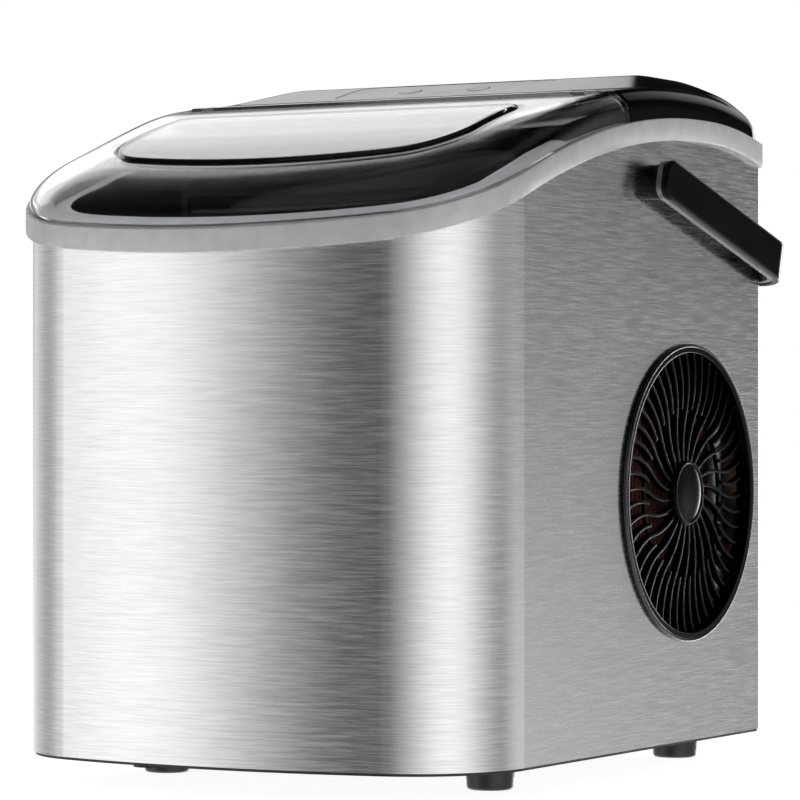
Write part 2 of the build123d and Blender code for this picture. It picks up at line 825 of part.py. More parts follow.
def rib_solid(inner_share, plane):
    """One swirling rib, its outer end at the angle 0, cut off at a share of the bore's radius."""
    with BuildPart() as rib:
        with BuildSketch(plane):
            with BuildLine():
                outer_arc = ThreePointArc(
                    swirl_point(rib_outer_end), swirl_point(rib_lean), swirl_point(rib_crossing)
                )
                TangentArc(outer_arc @ 1, swirl_point(rib_inner_end), tangent=outer_arc % 1)
                offset(amount=rib_width / 2, side=Side.BOTH)
            make_face()
            Circle(bezel_bore * inner_share, mode=Mode.SUBTRACT)
        extrude(amount=-rib_depth)
    return rib.part


def grille_plane(x):
    """Plane of the right grille at x, looked at from outside, with its origin on the grille's axis."""
    return Plane(origin=(x, grille_y, grille_z), x_dir=(0, 1, 0), z_dir=(1, 0, 0))


rib_plane = grille_plane(grille_face_x - rib_face_inset)
long_rib = rib_solid(rib_inner_end[0], rib_plane)
short_rib = rib_solid(support_ring_radius / bezel_bore, rib_plane)
grille_axis = Axis(rib_plane.origin, rib_plane.z_dir)
ribs = []
for number in range(rib_count):
    rib = long_rib if number % 2 == 0 else short_rib
    ribs.append(rib.rotate(grille_axis, number * 360 / rib_count))
with BuildPart() as side_grille:
    with BuildSketch(grille_plane(grille_back_x)):
        Circle(grille_radius - grille_bezel / 2 - grille_neck_gap)
        Circle(bezel_bore, mode=Mode.SUBTRACT)
    extrude(amount=grille_depth)
    with BuildSketch(grille_plane(body_half_width)):
        Circle(grille_radius)
        Circle(bezel_bore, mode=Mode.SUBTRACT)
    extrude(amount=grille_proud)
    fillet(side_grille.faces().sort_by(Axis.X)[-1].outer_wire().edges(), radius=grille_proud * 0.7)
    with BuildSketch(grille_plane(grille_face_x - hub_inset)):
        Circle(grille_hub_radius)
    extrude(amount=-rib_depth)
    fillet(side_grille.faces().filter_by(Axis.X).sort_by(SortBy.AREA)[0].edges(), radius=0.5)
    with BuildSketch(rib_plane.offset(-rib_depth)):
        Circle(support_ring_radius + support_ring_width)
        Circle(support_ring_radius, mode=Mode.SUBTRACT)
    extrude(amount=support_ring_depth)
    add(ribs)
save("side_grille_right", side_grille.part)
save("side_grille_left", mirror(side_grille.part, about=Plane.YZ))

# ================================================================ tub, basket and deck
ring_underside = ring_height - ring_thickness  # above the crown line
tub_outer_x = body_half_width - tub_inset
tub_inner_x = tub_outer_x - tub_wall
tub_top = ring_underside - seat_gap
basket_seat_z = basket_top_z - basket_wall - fit_gap
basket_bottom_z = basket_top_z - basket_height
finger_y = tray_axis_y - tray_width / 2
finger_pitch = (tray_length - finger_margin) / finger_count
tube_ports = [(side * finger_pitch, frame_top_z - frame_sheet - evaporator_height / 2) for side in (-1, 1)]
hose_z = tray_axis_z + 9.5
port_clearance = 0.6


def low_body_sketch(outset, rear, height):
    """Plan of the body offset outwards, closed at y = rear, at any height."""
    return Pos(0, 0, height - prism_bottom) * body_sketch(outset, rear)


def wall_ports(y):
    """Drill through a wall at y for the two coolant tubes and the water hose."""
    with BuildPart() as drill:
        with BuildSketch(Plane.XZ.offset(-y)):
            with Locations(*tube_ports):
                Circle(coolant_tube_radius + port_clearance)
            with Locations((pump_x, hose_z)):
                Circle(hose_radius + port_clearance)
        extrude(amount=2 * tub_wall, both=True)
    return drill.part


# ---- water tub, hung in the body's front half from a flange under the trim ring
hollow_inset = tub_inset + tub_wall
flange_outset = tub_rim - tub_inset
with BuildPart() as tub:
    extrude(low_body_sketch(-tub_inset, tub_rear_y, tub_floor_z), amount=prism_height)
    fillet(tub.faces().sort_by(Axis.Z)[0].edges(), radius=tub_corner)
    extrude(low_body_sketch(flange_outset, tub_rear_y, prism_bottom), amount=prism_height)
    add(under_crown(tub_top), mode=Mode.INTERSECT)
    with BuildPart(mode=Mode.PRIVATE) as rim_room:
        extrude(low_body_sketch(flange_outset, tub_rear_y, 0), amount=2 * prism_height)
        extrude(low_body_sketch(-tub_inset, tub_rear_y, 0), amount=2 * prism_height, mode=Mode.SUBTRACT)
        add(under_crown(tub_top - tub_wall), mode=Mode.INTERSECT)
    add(rim_room.part, mode=Mode.SUBTRACT)
    with BuildPart(mode=Mode.PRIVATE) as tub_hollow:
        hollow_plan = low_body_sketch(-hollow_inset, tub_rear_y - tub_wall, tub_floor_z + tub_wall)
        extrude(hollow_plan, amount=2 * prism_height)
        fillet(tub_hollow.faces().sort_by(Axis.Z)[0].edges(), radius=tub_corner - tub_wall)
    add(tub_hollow.part, mode=Mode.SUBTRACT)
    with BuildSketch(Plane.XY.offset(basket_seat_z - ledge_height)):
        for side in (-1, 1):
            with Locations((side * (tub_inner_x - ledge_depth / 2 + tub_wall / 4), ledge_y)):
                Rectangle(ledge_depth + tub_wall / 2, ledge_length)
    extrude(amount=ledge_height)
    with BuildSketch(Plane.XY.offset(tub_floor_z)):
        with Locations((drain_x, drain_y)):
            Circle(drain_bore)
        with Locations((pump_x, pump_y)):
            Circle(hose_radius)
    extrude(amount=tub_wall, mode=Mode.SUBTRACT)
    add(wall_ports(tub_rear_y), mode=Mode.SUBTRACT)
save("tub", tub.part)

# ---- drain spout down through the base, and its plug
spout_bottom_z = foot_height - plug_flange
with BuildPart() as drain_spout:
    with BuildSketch(Plane.XY.offset(spout_bottom_z)):
        with Locations((drain_x, drain_y)):
            Circle(drain_bore + drain_wall)
    extrude(amount=tub_floor_z - seat_gap - spout_bottom_z)
    with BuildSketch(Plane.XY.offset(base_top_z + seat_gap)):
        with Locations((drain_x, drain_y)):
            Circle(drain_bore + 2 * drain_wall)
    extrude(amount=drain_wall)
    with BuildSketch(Plane.XY.offset(spout_bottom_z)):
        with Locations((drain_x, drain_y)):
            Circle(drain_bore)
    extrude(amount=tub_floor_z, mode=Mode.SUBTRACT)
save("drain_spout", drain_spout.part)

plug_top_z = spout_bottom_z - seat_gap
with BuildPart() as drain_plug:
    with BuildSketch(Plane.XY.offset(plug_top_z)):
        with Locations((drain_x, drain_y)):
            Circle(drain_bore + drain_wall)
    extrude(amount=-plug_flange)
    with BuildSketch(Plane.XY.offset(plug_top_z)):
        with Locations((drain_x, drain_y)):
            Circle(drain_bore - running_clearance)
    extrude(amount=plug_seat)
save("drain_plug", drain_plug.part)

# ---- foam jacket round the tub
jacket_face = shell_wall + base_wall + 2 * fit_gap
with BuildPart() as foam_jacket:
    extrude(low_body_sketch(-jacket_face, tub_rear_y, foam_bottom_z), amount=prism_height)
    foam_plan = low_body_sketch(foam_gap - tub_inset, tub_rear_y + tub_wall, 0)
    extrude(foam_plan, amount=2 * prism_height, mode=Mode.SUBTRACT)
    add(under_crown(ring_underside - ring_lip_depth - fit_gap), mode=Mode.INTERSECT)
save("foam_jacket", foam_jacket.part)

# ---- ice basket: slotted bin that follows the tub's plan and hangs by two ears on its ledges
with BuildPart() as ice_basket:
    extrude(low_body_sketch(-basket_inset, basket_rear_y, basket_bottom_z), amount=basket_height)
    fillet(ice_basket.faces().sort_by(Axis.Z)[0].edges(), radius=basket_wall * 2)
    with BuildSketch(Plane.XY.offset(basket_top_z)):
        with Locations((0, ledge_y)):
            Rectangle(2 * tub_inner_x - 4 * fit_gap, ledge_length - 4 * fit_gap)
    extrude(amount=-basket_wall)
    bin_inset = basket_inset + basket_wall
    bin_plan = low_body_sketch(-bin_inset, basket_rear_y - basket_wall, basket_bottom_z + basket_wall)
    extrude(bin_plan, amount=basket_height, mode=Mode.SUBTRACT)
    with BuildSketch(Plane.XY.offset(basket_bottom_z)):
        with Locations((0, ledge_y)):
            with GridLocations(basket_slot_pitch, 18.0, 9, 2):
                Rectangle(basket_slot, 13.0)
    extrude(amount=basket_wall, mode=Mode.SUBTRACT)
    with BuildSketch(Plane.XZ.offset(-basket_rear_y)):
        with Locations((0, basket_bottom_z + basket_height * 0.45)):
            with GridLocations(basket_slot_pitch, 1, 11, 1):
                Rectangle(basket_slot, basket_height * 0.5)
    extrude(amount=2 * basket_wall, both=True, mode=Mode.SUBTRACT)
save("ice_basket", ice_basket.part)

# ---- infrared pair that looks across the tub over a full basket
for sensor_name, side in (("ice_sensor_emitter", -1), ("ice_sensor_receiver", 1)):
    with BuildPart() as sensor:
        with BuildSketch(Plane.YZ.offset(side * (tub_inner_x - seat_gap))):
            with Locations((sensor_y, sensor_z)):
                RectangleRounded(sensor_width, sensor_width, 2)
        extrude(amount=-side * sensor_depth / 2)
        with BuildSketch(Plane.YZ.offset(side * (tub_inner_x - seat_gap - sensor_depth / 2))):
            with Locations((sensor_y, sensor_z)):
                Circle(sensor_eye)
        extrude(amount=-side * sensor_depth / 2)
    save(sensor_name, sensor.part)

# ---- deck: dark cover over the ice unit, under the rear of the lid
deck_rear_y = cover_front_y - fit_gap
deck_half = body_half_width - deck_edge
deck_room_half = tub_inner_x - seat_gap
deck_middle_y = (deck_front_y + deck_rear_y) / 2
with BuildPart() as deck:
    with BuildSketch(Plane.XY.offset(prism_bottom)):
        with Locations((0, deck_middle_y)):
            Rectangle(2 * deck_half, deck_rear_y - deck_front_y)
    extrude(amount=prism_height)
    add(under_crown(ring_height + deck_rise), mode=Mode.INTERSECT)
    fillet(deck.faces().sort_by(Axis.Z)[-1].edges().sort_by(Axis.Y)[0], radius=deck_round)
    add(under_crown(ring_height + seat_gap), mode=Mode.SUBTRACT)
    with BuildPart(mode=Mode.PRIVATE) as deck_room:
        with BuildSketch(Plane.XY.offset(prism_bottom)):
            with Locations((0, deck_middle_y)):
                Rectangle(2 * deck_room_half, deck_rear_y - deck_front_y - 2 * deck_wall)
        extrude(amount=prism_height)
        add(under_crown(ring_height + deck_rise - deck_wall), mode=Mode.INTERSECT)
    add(deck_room.part, mode=Mode.SUBTRACT)
save("deck", deck.part)

# ================================================================ ice unit, hung in the tub's rear
cheek_outer = tray_length / 2 + tray_end_gap
cheek_inner = cheek_outer - frame_sheet
cheek_rear_y = tub_rear_y - tub_wall - seat_gap
frame_under_z = frame_top_z - frame_sheet
with BuildPart() as ice_unit_frame:
    with BuildSketch(Plane.XY.offset(frame_under_z)):
        with Locations((0, (frame_front_y + cheek_rear_y) / 2)):
            Rectangle(2 * cheek_outer, cheek_rear_y - frame_front_y)
    extrude(amount=frame_sheet)
    with BuildSketch(Plane.YZ.offset(-cheek_outer)):
        with BuildLine():
            Polyline(
                (cheek_rear_y, frame_under_z),
                (frame_front_y, frame_under_z),
                (frame_front_y, shovel_z - 2 * tray_boss_radius),
                (tray_axis_y - 2 * tray_boss_radius, cheek_bottom_z),
                (cheek_rear_y, cheek_bottom_z),
                close=True,
            )
        make_face()
        with Locations((tray_axis_y, tray_axis_z), (shovel_y, shovel_z)):
            Circle(tray_pin_radius + running_clearance, mode=Mode.SUBTRACT)
    cheek = extrude(amount=frame_sheet)
    mirror(cheek, about=Plane.YZ)
save("ice_unit_frame", ice_unit_frame.part)

# ---- evaporator block and its freezing fingers
block_z = frame_under_z - seat_gap - evaporator_height
with BuildPart() as evaporator:
    with BuildSketch(Plane.XY.offset(block_z)):
        with Locations((0, finger_y)):
            RectangleRounded(finger_count * finger_pitch + 2 * block_overhang, evaporator_depth, 3)
    extrude(amount=evaporator_height)
    with BuildSketch(Plane.XY.offset(block_z)):
        with Locations((0, finger_y)):
            with GridLocations(finger_pitch, 0, finger_count, 1):
                Circle(finger_radius)
    extrude(amount=-finger_length + finger_radius)
    finger_tips = evaporator.faces().filter_by(GeomType.PLANE).sort_by(Axis.Z)[:finger_count]
    fillet(finger_tips.edges(), radius=finger_radius * 0.8)
save("evaporator", evaporator.part)

# ---- tilting water tray: half-round trough with a pivot pin at each end
trough_radius = tray_width / 2
trough_y = tray_axis_y - trough_radius
trough_z = tray_axis_z - tray_height + trough_radius


def trough_sketch(inset, end_x):
    """Half-round trough section, closed level with the tray's top."""
    radius = trough_radius - inset
    with BuildSketch(Plane.YZ.offset(end_x)) as section:
        top_z = tray_axis_z + inset
        with Locations((trough_y, trough_z)):
            Circle(radius)
        with Locations((trough_y, trough_z)):
            Rectangle(2 * radius, top_z - trough_z, align=(Align.CENTER, Align.MIN))
        with Locations((trough_y, top_z)):
            Rectangle(3 * radius, radius, align=(Align.CENTER, Align.MIN), mode=Mode.SUBTRACT)
    return section.sketch


motor_pin = 5.0
with BuildPart() as water_tray:
    extrude(trough_sketch(0, -tray_length / 2), amount=tray_length)
    trough_plan = trough_sketch(tray_wall, tray_wall - tray_length / 2)
    extrude(trough_plan, amount=tray_length - 2 * tray_wall, mode=Mode.SUBTRACT)
    for start_x in (-tray_length / 2, tray_length / 2 - tray_wall):
        with BuildSketch(Plane.YZ.offset(start_x)):
            with Locations((tray_axis_y, tray_axis_z)):
                Circle(tray_boss_radius)
        extrude(amount=tray_wall)
    with BuildSketch(Plane.YZ.offset(-tray_length / 2)):
        with Locations((tray_axis_y, tray_axis_z)):
            Circle(tray_pin_radius)
    extrude(amount=-tray_end_gap)
    with BuildSketch(Plane.YZ.offset(tray_length / 2)):
        with Locations((tray_axis_y, tray_axis_z)):
            Circle(tray_pin_radius)
    extrude(amount=tray_end_gap + motor_pin + seat_gap)
save("water_tray", water_tray.part)

with BuildPart() as tray_motor:
    with BuildSketch(Plane.YZ.offset(cheek_outer + seat_gap)):
        with Locations((tray_axis_y, tray_axis_z)):
            RectangleRounded(motor_width, motor_height, 3)
    extrude(amount=motor_length)
    with BuildSketch(Plane.YZ.offset(cheek_outer)):
        with Locations((tray_axis_y, tray_axis_z)):
            Circle(tray_pin_radius + running_clearance)
    extrude(amount=motor_pin + 3 * seat_gap, mode=Mode.SUBTRACT)
save("tray_motor", tray_motor.part)

# ---- shovel: flap that pushes the ice forward as the tray tips
with BuildPart() as ice_shovel:
    shovel_half = cheek_inner - 2 * fit_gap
    with BuildSketch(Plane.YZ.offset(-shovel_half)):
        with Locations((shovel_y, shovel_z)):
            Circle(shovel_hub)
        with Locations((shovel_y, shovel_z - shovel_drop / 2)):
            Rectangle(shovel_sheet, shovel_drop)
    extrude(amount=2 * shovel_half)
    with BuildSketch(Plane.YZ.offset(-cheek_outer)):
        with Locations((shovel_y, shovel_z)):
            Circle(tray_pin_radius)
    extrude(amount=2 * cheek_outer)
save("ice_shovel", ice_shovel.part)

# ================================================================ machine compartment
floor_z = base_top_z + seat_gap
bulkhead_rear = bulkhead_y + bulkhead_thickness
board_hole_pitch = (board_width - 2 * board_hole_inset, board_height - 2 * board_hole_inset)

# ---- bulkhead between the tub and the machine compartment
with BuildPart() as bulkhead:
    with BuildSketch(Plane.XZ.offset(-bulkhead_y)):
        with Locations((0, (floor_z + bulkhead_top_z) / 2)):
            Rectangle(2 * bulkhead_half, bulkhead_top_z - floor_z)
    extrude(amount=-bulkhead_thickness)
    add(wall_ports(bulkhead_y), mode=Mode.SUBTRACT)
    with BuildSketch(Plane.XZ.offset(-bulkhead_y)):
        with Locations((board_x, board_z)):
            with GridLocations(*board_hole_pitch, 2, 2):
                Circle(standoff_radius / 2)
    extrude(amount=-bulkhead_thickness, mode=Mode.SUBTRACT)
save("bulkhead", bulkhead.part)

# ---- main circuit board on four standoffs
board_y = bulkhead_rear + standoff_length
with BuildPart() as board_standoffs:
    with BuildSketch(Plane.XZ.offset(-bulkhead_rear)):
        with Locations((board_x, board_z)):
            with GridLocations(*board_hole_pitch, 2, 2):
                Circle(standoff_radius)
    extrude(amount=-standoff_length + seat_gap)
save("board_standoffs", board_standoffs.part)

with BuildPart() as main_board:
    with BuildSketch(Plane.XZ.offset(-board_y)):
        with Locations((board_x, board_z)):
            Rectangle(board_width, board_height)
            with GridLocations(*board_hole_pitch, 2, 2):
                Circle(standoff_radius / 2, mode=Mode.SUBTRACT)
    extrude(amount=-board_thickness)
    component_face = board_y + board_thickness
    for x, z, wide, tall, deep in board_components:
        with BuildSketch(Plane.XZ.offset(-component_face)):
            with Locations((board_x + x, board_z + z)):
                Rectangle(wide, tall)
        extrude(amount=-deep)
save("main_board", main_board.part)

# ---- compressor: drawn steel can on a three-lobed foot plate
foot_angles = (90, 210, 330)
grommet_places = [
    (
        compressor_x + grommet_circle * cos(radians(angle)),
        compressor_y + grommet_circle * sin(radians(angle)),
    )
    for angle in foot_angles
]
compressor_top_z = compressor_bottom_z + compressor_height
with BuildPart() as compressor:
    with BuildSketch(Plane.XY.offset(compressor_bottom_z)):
        with Locations((compressor_x, compressor_y)):
            Circle(compressor_radius)
    extrude(amount=compressor_height)
    fillet(compressor.faces().sort_by(Axis.Z)[-1].edges(), radius=compressor_dome)
    with BuildSketch(Plane.XY.offset(compressor_bottom_z + compressor_height * compressor_seam[0])):
        with Locations((compressor_x, compressor_y)):
            Circle(compressor_radius + compressor_seam[1])
    extrude(amount=compressor_seam[2])
    with BuildSketch(Plane.XY.offset(compressor_bottom_z - compressor_sheet)):
        with Locations((compressor_x, compressor_y)):
            Circle(compressor_radius - compressor_foot_inset)
        for place in grommet_places:
            with Locations(place):
                Circle(grommet_radius + grommet_land)
        with Locations((compressor_x, compressor_y)):
            RegularPolygon(grommet_circle, 3, rotation=90)
        with Locations(*grommet_places):
            Circle(bolt_radius + screw_clearance, mode=Mode.SUBTRACT)
    extrude(amount=compressor_sheet)
save("compressor", compressor.part)

with BuildPart() as compressor_grommets:
    with BuildSketch(Plane.XY.offset(floor_z)):
        with Locations(*grommet_places):
            Circle(grommet_radius)
            Circle(bolt_radius + screw_clearance, mode=Mode.SUBTRACT)
    extrude(amount=compressor_bottom_z - compressor_sheet - seat_gap - floor_z)
save("compressor_grommets", compressor_grommets.part)

with BuildPart() as compressor_bolts:
    with BuildSketch(Plane.XY.offset(floor_z)):
        with Locations(*grommet_places):
            Circle(bolt_radius)
    extrude(amount=compressor_bottom_z + seat_gap - floor_z)
    with BuildSketch(Plane.XY.offset(compressor_bottom_z + seat_gap)):
        with Locations(*grommet_places):
            RegularPolygon(1.8 * bolt_radius, 6)
    extrude(amount=bolt_radius)
save("compressor_bolts", compressor_bolts.part)

with BuildPart() as terminal_cover:
    terminal_plane = Plane(
        origin=(compressor_x, compressor_y, compressor_bottom_z + terminal_rise),
        x_dir=(-sin(radians(terminal_angle)), cos(radians(terminal_angle)), 0),
        z_dir=(cos(radians(terminal_angle)), sin(radians(terminal_angle)), 0),
    )
    with BuildSketch(terminal_plane.offset(compressor_radius * 0.8)):
        RectangleRounded(*terminal_size)
    extrude(amount=compressor_radius * 0.2 + terminal_depth)
    with BuildSketch(Plane.XY):
        with Locations((compressor_x, compressor_y)):
            Circle(compressor_radius + fit_gap)
    extrude(amount=2 * compressor_height, mode=Mode.SUBTRACT)
save("terminal_cover", terminal_cover.part)

# ---- condenser: serpentine tube through a stack of upright fins, between two brackets
tube_x = condenser_x + condenser_thickness / 2
row_pitch = (condenser_top_z - condenser_bottom_z) / coolant_rows
row_heights = [condenser_bottom_z + row_pitch * (row + 0.5) for row in range(coolant_rows)]
fin_count = int(2 * condenser_half_depth / fin_pitch) + 1
bend_radius = row_pitch / 2
bracket_y = [condenser_y + side * (condenser_half_depth + bracket_gap) for side in (-1, 1)]
with BuildPart() as condenser_fins:
    for fin in range(fin_count):
        fin_y = condenser_y + fin_pitch * (fin - (fin_count - 1) / 2)
        with BuildSketch(Plane.XZ.offset(-fin_y - fin_thickness / 2)):
            with Locations((tube_x, (condenser_bottom_z + condenser_top_z) / 2)):
                Rectangle(condenser_thickness, condenser_top_z - condenser_bottom_z)
            with Locations(*[(tube_x, z) for z in row_heights]):
                Circle(coolant_tube_radius + running_clearance, mode=Mode.SUBTRACT)
        extrude(amount=fin_thickness)
save("condenser_fins", condenser_fins.part)

straight_end = condenser_half_depth + 2 * bracket_gap
with BuildPart() as condenser_tube:
    with BuildLine() as serpentine:
        for row, z in enumerate(row_heights):
            Line((tube_x, condenser_y - straight_end, z), (tube_x, condenser_y + straight_end, z))
            if row:
                side = 1 if row % 2 else -1
                bend_y = condenser_y + side * straight_end
                ThreePointArc(
                    (tube_x, bend_y, z - row_pitch),
                    (tube_x, bend_y + side * bend_radius, z - bend_radius),
                    (tube_x, bend_y, z),
                )
    with BuildSketch(Plane.XZ.offset(-condenser_y + straight_end)):
        with Locations((tube_x, row_heights[0])):
            Circle(coolant_tube_radius)
    sweep(path=serpentine.wires()[0])
save("condenser_tube", condenser_tube.part)

with BuildPart() as condenser_brackets:
    for y in bracket_y:
        with BuildSketch(Plane.XZ.offset(-y - bracket_sheet / 2)):
            with Locations((tube_x, (floor_z + condenser_top_z) / 2)):
                Rectangle(condenser_thickness, condenser_top_z - floor_z)
            with Locations(*[(tube_x, z) for z in row_heights]):
                Circle(coolant_tube_radius + running_clearance, mode=Mode.SUBTRACT)
        extrude(amount=bracket_sheet)
save("condenser_brackets", condenser_brackets.part)

# ---- fan shroud: plate behind the condenser with a round duct and arms for the motor
shroud_face_x = condenser_x - 2 * shroud_sheet
duct_start_x = shroud_face_x - shroud_depth
duct_radius = fan_radius + fan_tip_gap
with BuildPart() as fan_shroud:
    with BuildSketch(Plane.YZ.offset(shroud_face_x)):
        with Locations((condenser_y, (floor_z + condenser_top_z) / 2)):
            Rectangle(bracket_y[1] - bracket_y[0], condenser_top_z - floor_z)
        with Locations((condenser_y, grille_z)):
            Circle(duct_radius, mode=Mode.SUBTRACT)
    extrude(amount=shroud_sheet)
    with BuildSketch(Plane.YZ.offset(duct_start_x)):
        with Locations((condenser_y, grille_z)):
            Circle(duct_radius + shroud_sheet)
            Circle(duct_radius, mode=Mode.SUBTRACT)
    extrude(amount=shroud_depth)
    with BuildSketch(Plane.YZ.offset(duct_start_x)):
        with Locations((condenser_y, grille_z)):
            Circle(fan_motor_radius + shroud_sheet)
            with PolarLocations((duct_radius + fan_motor_radius) / 2, 3, start_angle=90):
                Rectangle(duct_radius - fan_motor_radius + shroud_sheet, 7)
        with Locations((condenser_y, grille_z)):
            Circle(fan_shaft_radius + 1, mode=Mode.SUBTRACT)
    extrude(amount=shroud_sheet)
save("fan_shroud", fan_shroud.part)

# ---- fan motor, shaft and rotor
motor_face_x = duct_start_x - seat_gap
with BuildPart() as fan_motor:
    with BuildSketch(Plane.YZ.offset(motor_face_x)):
        with Locations((condenser_y, grille_z)):
            Circle(fan_motor_radius)
    extrude(amount=-fan_motor_length)
    fillet(fan_motor.faces().sort_by(Axis.X)[0].edges(), radius=4)
    with BuildSketch(Plane.YZ.offset(motor_face_x)):
        with Locations((condenser_y, grille_z)):
            Circle(fan_shaft_radius + running_clearance)
    extrude(amount=-fan_motor_length * 0.8, mode=Mode.SUBTRACT)
save("fan_motor", fan_motor.part)

rotor_x = duct_start_x + shroud_sheet + rotor_gap
blade_tip = fan_radius - fan_tip_gap
shaft_start_x = motor_face_x - fan_motor_length * 0.8 + 2 * seat_gap
with BuildPart() as fan_shaft:
    with BuildSketch(Plane.YZ.offset(shaft_start_x)):
        with Locations((condenser_y, grille_z)):
            Circle(fan_shaft_radius)
    extrude(amount=rotor_x + fan_blade_depth - shaft_start_x - 1)
save("fan_shaft", fan_shaft.part)

with BuildPart() as fan_rotor:
    with BuildSketch(Plane.YZ.offset(rotor_x)):
        with Locations((condenser_y, grille_z)):
            Circle(fan_hub_radius)
    extrude(amount=fan_blade_depth)
    fillet(fan_rotor.faces().sort_by(Axis.X)[-1].edges(), radius=2)
    with BuildPart(mode=Mode.PRIVATE) as blades:
        blade_middle_x = rotor_x + fan_blade_depth / 2
        for blade in range(fan_blade_count):
            angle = 360 / fan_blade_count * blade
            blade_place = Location((blade_middle_x, condenser_y, grille_z)) * Rotation(angle, 0, 0)
            blade_centre = Pos(0, 0, (fan_hub_radius + blade_tip) / 2 - 1)
            with Locations(blade_place * blade_centre * Rotation(0, 0, fan_blade_pitch)):
                Box(fan_blade_thickness, fan_blade_chord, blade_tip - fan_hub_radius + 4)
        with BuildSketch(Plane.YZ.offset(rotor_x)):
            with Locations((condenser_y, grille_z)):
                Circle(blade_tip)
        extrude(amount=fan_blade_depth, mode=Mode.INTERSECT)
    add(blades.part)
    with BuildSketch(Plane.YZ.offset(rotor_x)):
        with Locations((condenser_y, grille_z)):
            Circle(fan_shaft_radius)
    extrude(amount=fan_blade_depth - 1, mode=Mode.SUBTRACT)
save("fan_rotor", fan_rotor.part)

# ---- filter drier: upright copper can with drawn-in ends
drier_x, drier_y = drier_place
with BuildPart() as filter_drier:
    with BuildSketch(Plane.XY.offset(drier_z)):
        with Locations(drier_place):
            Circle(drier_radius)
    extrude(amount=drier_length)
    fillet(filter_drier.faces().sort_by(Axis.Z)[0].edges(), radius=drier_radius * 0.6)
    fillet(filter_drier.faces().sort_by(Axis.Z)[-1].edges(), radius=drier_radius * 0.6)
save("filter_drier", filter_drier.part)


# ---- refrigerant lines, each swept along a bent path
def pipe(radius, bend, points):
    """Solid line of the given radius along straight runs joined by bends."""
    with BuildPart() as line:
        with BuildLine() as path:
            FilletPolyline(*points, radius=bend)
        with BuildSketch(Plane(origin=path.wire() @ 0, z_dir=path.wire() % 0)):
            Circle(radius)
        sweep(path=path.wires()[0])
    return line.part


line_bend = 4.6
line_clearance = 8.0
rear_line_clearance = 7.0
under_drop = 12.0
discharge_port = (18.0, 12.0)  # from the middle of the compressor's top
suction_port = (14.0, -10.0)
can_top = compressor_top_z + seat_gap
inlet_z = row_heights[0]
outlet_z = row_heights[-1]
riser_x = condenser_x + condenser_thickness + coolant_tube_radius + fit_gap
riser_y = 106.0
over_z = condenser_top_z + line_clearance
under_z = condenser_bottom_z - under_drop
front_run_y = bulkhead_rear + line_clearance
rear_run_y = rear_panel_face - rear_panel_thickness - rear_line_clearance
discharge_x, discharge_y = compressor_x + discharge_port[0], compressor_y + discharge_port[1]
discharge_line = pipe(
    coolant_tube_radius,
    line_bend,
    [
        (discharge_x, discharge_y, can_top),
        (discharge_x, discharge_y, over_z),
        (discharge_x, riser_y, over_z),
        (riser_x, riser_y, over_z),
        (riser_x, riser_y, under_z),
        (riser_x, front_run_y, under_z),
        (tube_x, front_run_y, under_z),
        (tube_x, front_run_y, inlet_z),
        (tube_x, condenser_y - straight_end - seat_gap, inlet_z),
    ],
)
save("discharge_line", discharge_line)

liquid_line = pipe(
    coolant_tube_radius,
    line_bend,
    [
        (tube_x, condenser_y + straight_end + seat_gap, outlet_z),
        (tube_x, rear_run_y, outlet_z),
        (drier_x, rear_run_y, outlet_z),
        (drier_x, drier_y, outlet_z),
        (drier_x, drier_y, drier_z + drier_length + seat_gap),
    ],
)
save("liquid_line", liquid_line)

capillary_radius = 1.2
feed_x, port_z = tube_ports[1]
evaporator_rear_y = finger_y + evaporator_depth / 2 + seat_gap
capillary_tube = pipe(
    capillary_radius,
    line_bend,
    [
        (drier_x, drier_y, drier_z - seat_gap),
        (drier_x, drier_y, drier_z - under_drop),
        (drier_x, front_run_y, drier_z - under_drop),
        (drier_x, front_run_y, port_z),
        (feed_x, front_run_y, port_z),
        (feed_x, evaporator_rear_y, port_z),
    ],
)
save("capillary_tube", capillary_tube)

suction_x, suction_y = compressor_x + suction_port[0], compressor_y + suction_port[1]
return_x = tube_ports[0][0]
suction_line = pipe(
    coolant_tube_radius,
    line_bend,
    [
        (return_x, evaporator_rear_y, port_z),
        (return_x, suction_y, port_z),
        (suction_x, suction_y, port_z),
        (suction_x, suction_y, can_top),
    ],
)
save("suction_line", suction_line)

# ---- water pump under the tub and its hose up to the tray
with BuildPart() as water_pump:
    with BuildSketch(Plane.XY.offset(floor_z)):
        with Locations((pump_x, pump_y)):
            Circle(pump_radius)
    extrude(amount=pump_height)
    fillet(water_pump.faces().sort_by(Axis.Z)[-1].edges(), radius=3)
    with BuildSketch(Plane.XY.offset(floor_z + pump_height - 1)):
        with Locations((pump_x, pump_y)):
            Circle(hose_radius + tub_wall)
    extrude(amount=tub_floor_z - seat_gap - floor_z - pump_height + 1)
    with BuildSketch(Plane.XY.offset(floor_z + pump_height)):
        with Locations((pump_x, pump_y)):
            Circle(hose_radius)
    extrude(amount=tub_floor_z, mode=Mode.SUBTRACT)
save("water_pump", water_pump.part)

hose_y = (tub_rear_y + bulkhead_y) / 2
pump_hose = pipe(
    hose_radius,
    line_bend,
    [
        (pump_x, pump_y + pump_radius + seat_gap, pump_outlet_z),
        (pump_x, hose_y, pump_outlet_z),
        (pump_x, hose_y, hose_z),
        (pump_x, finger_y + evaporator_depth / 2 + hose_radius, hose_z),
    ],
)
save("pump_hose", pump_hose)
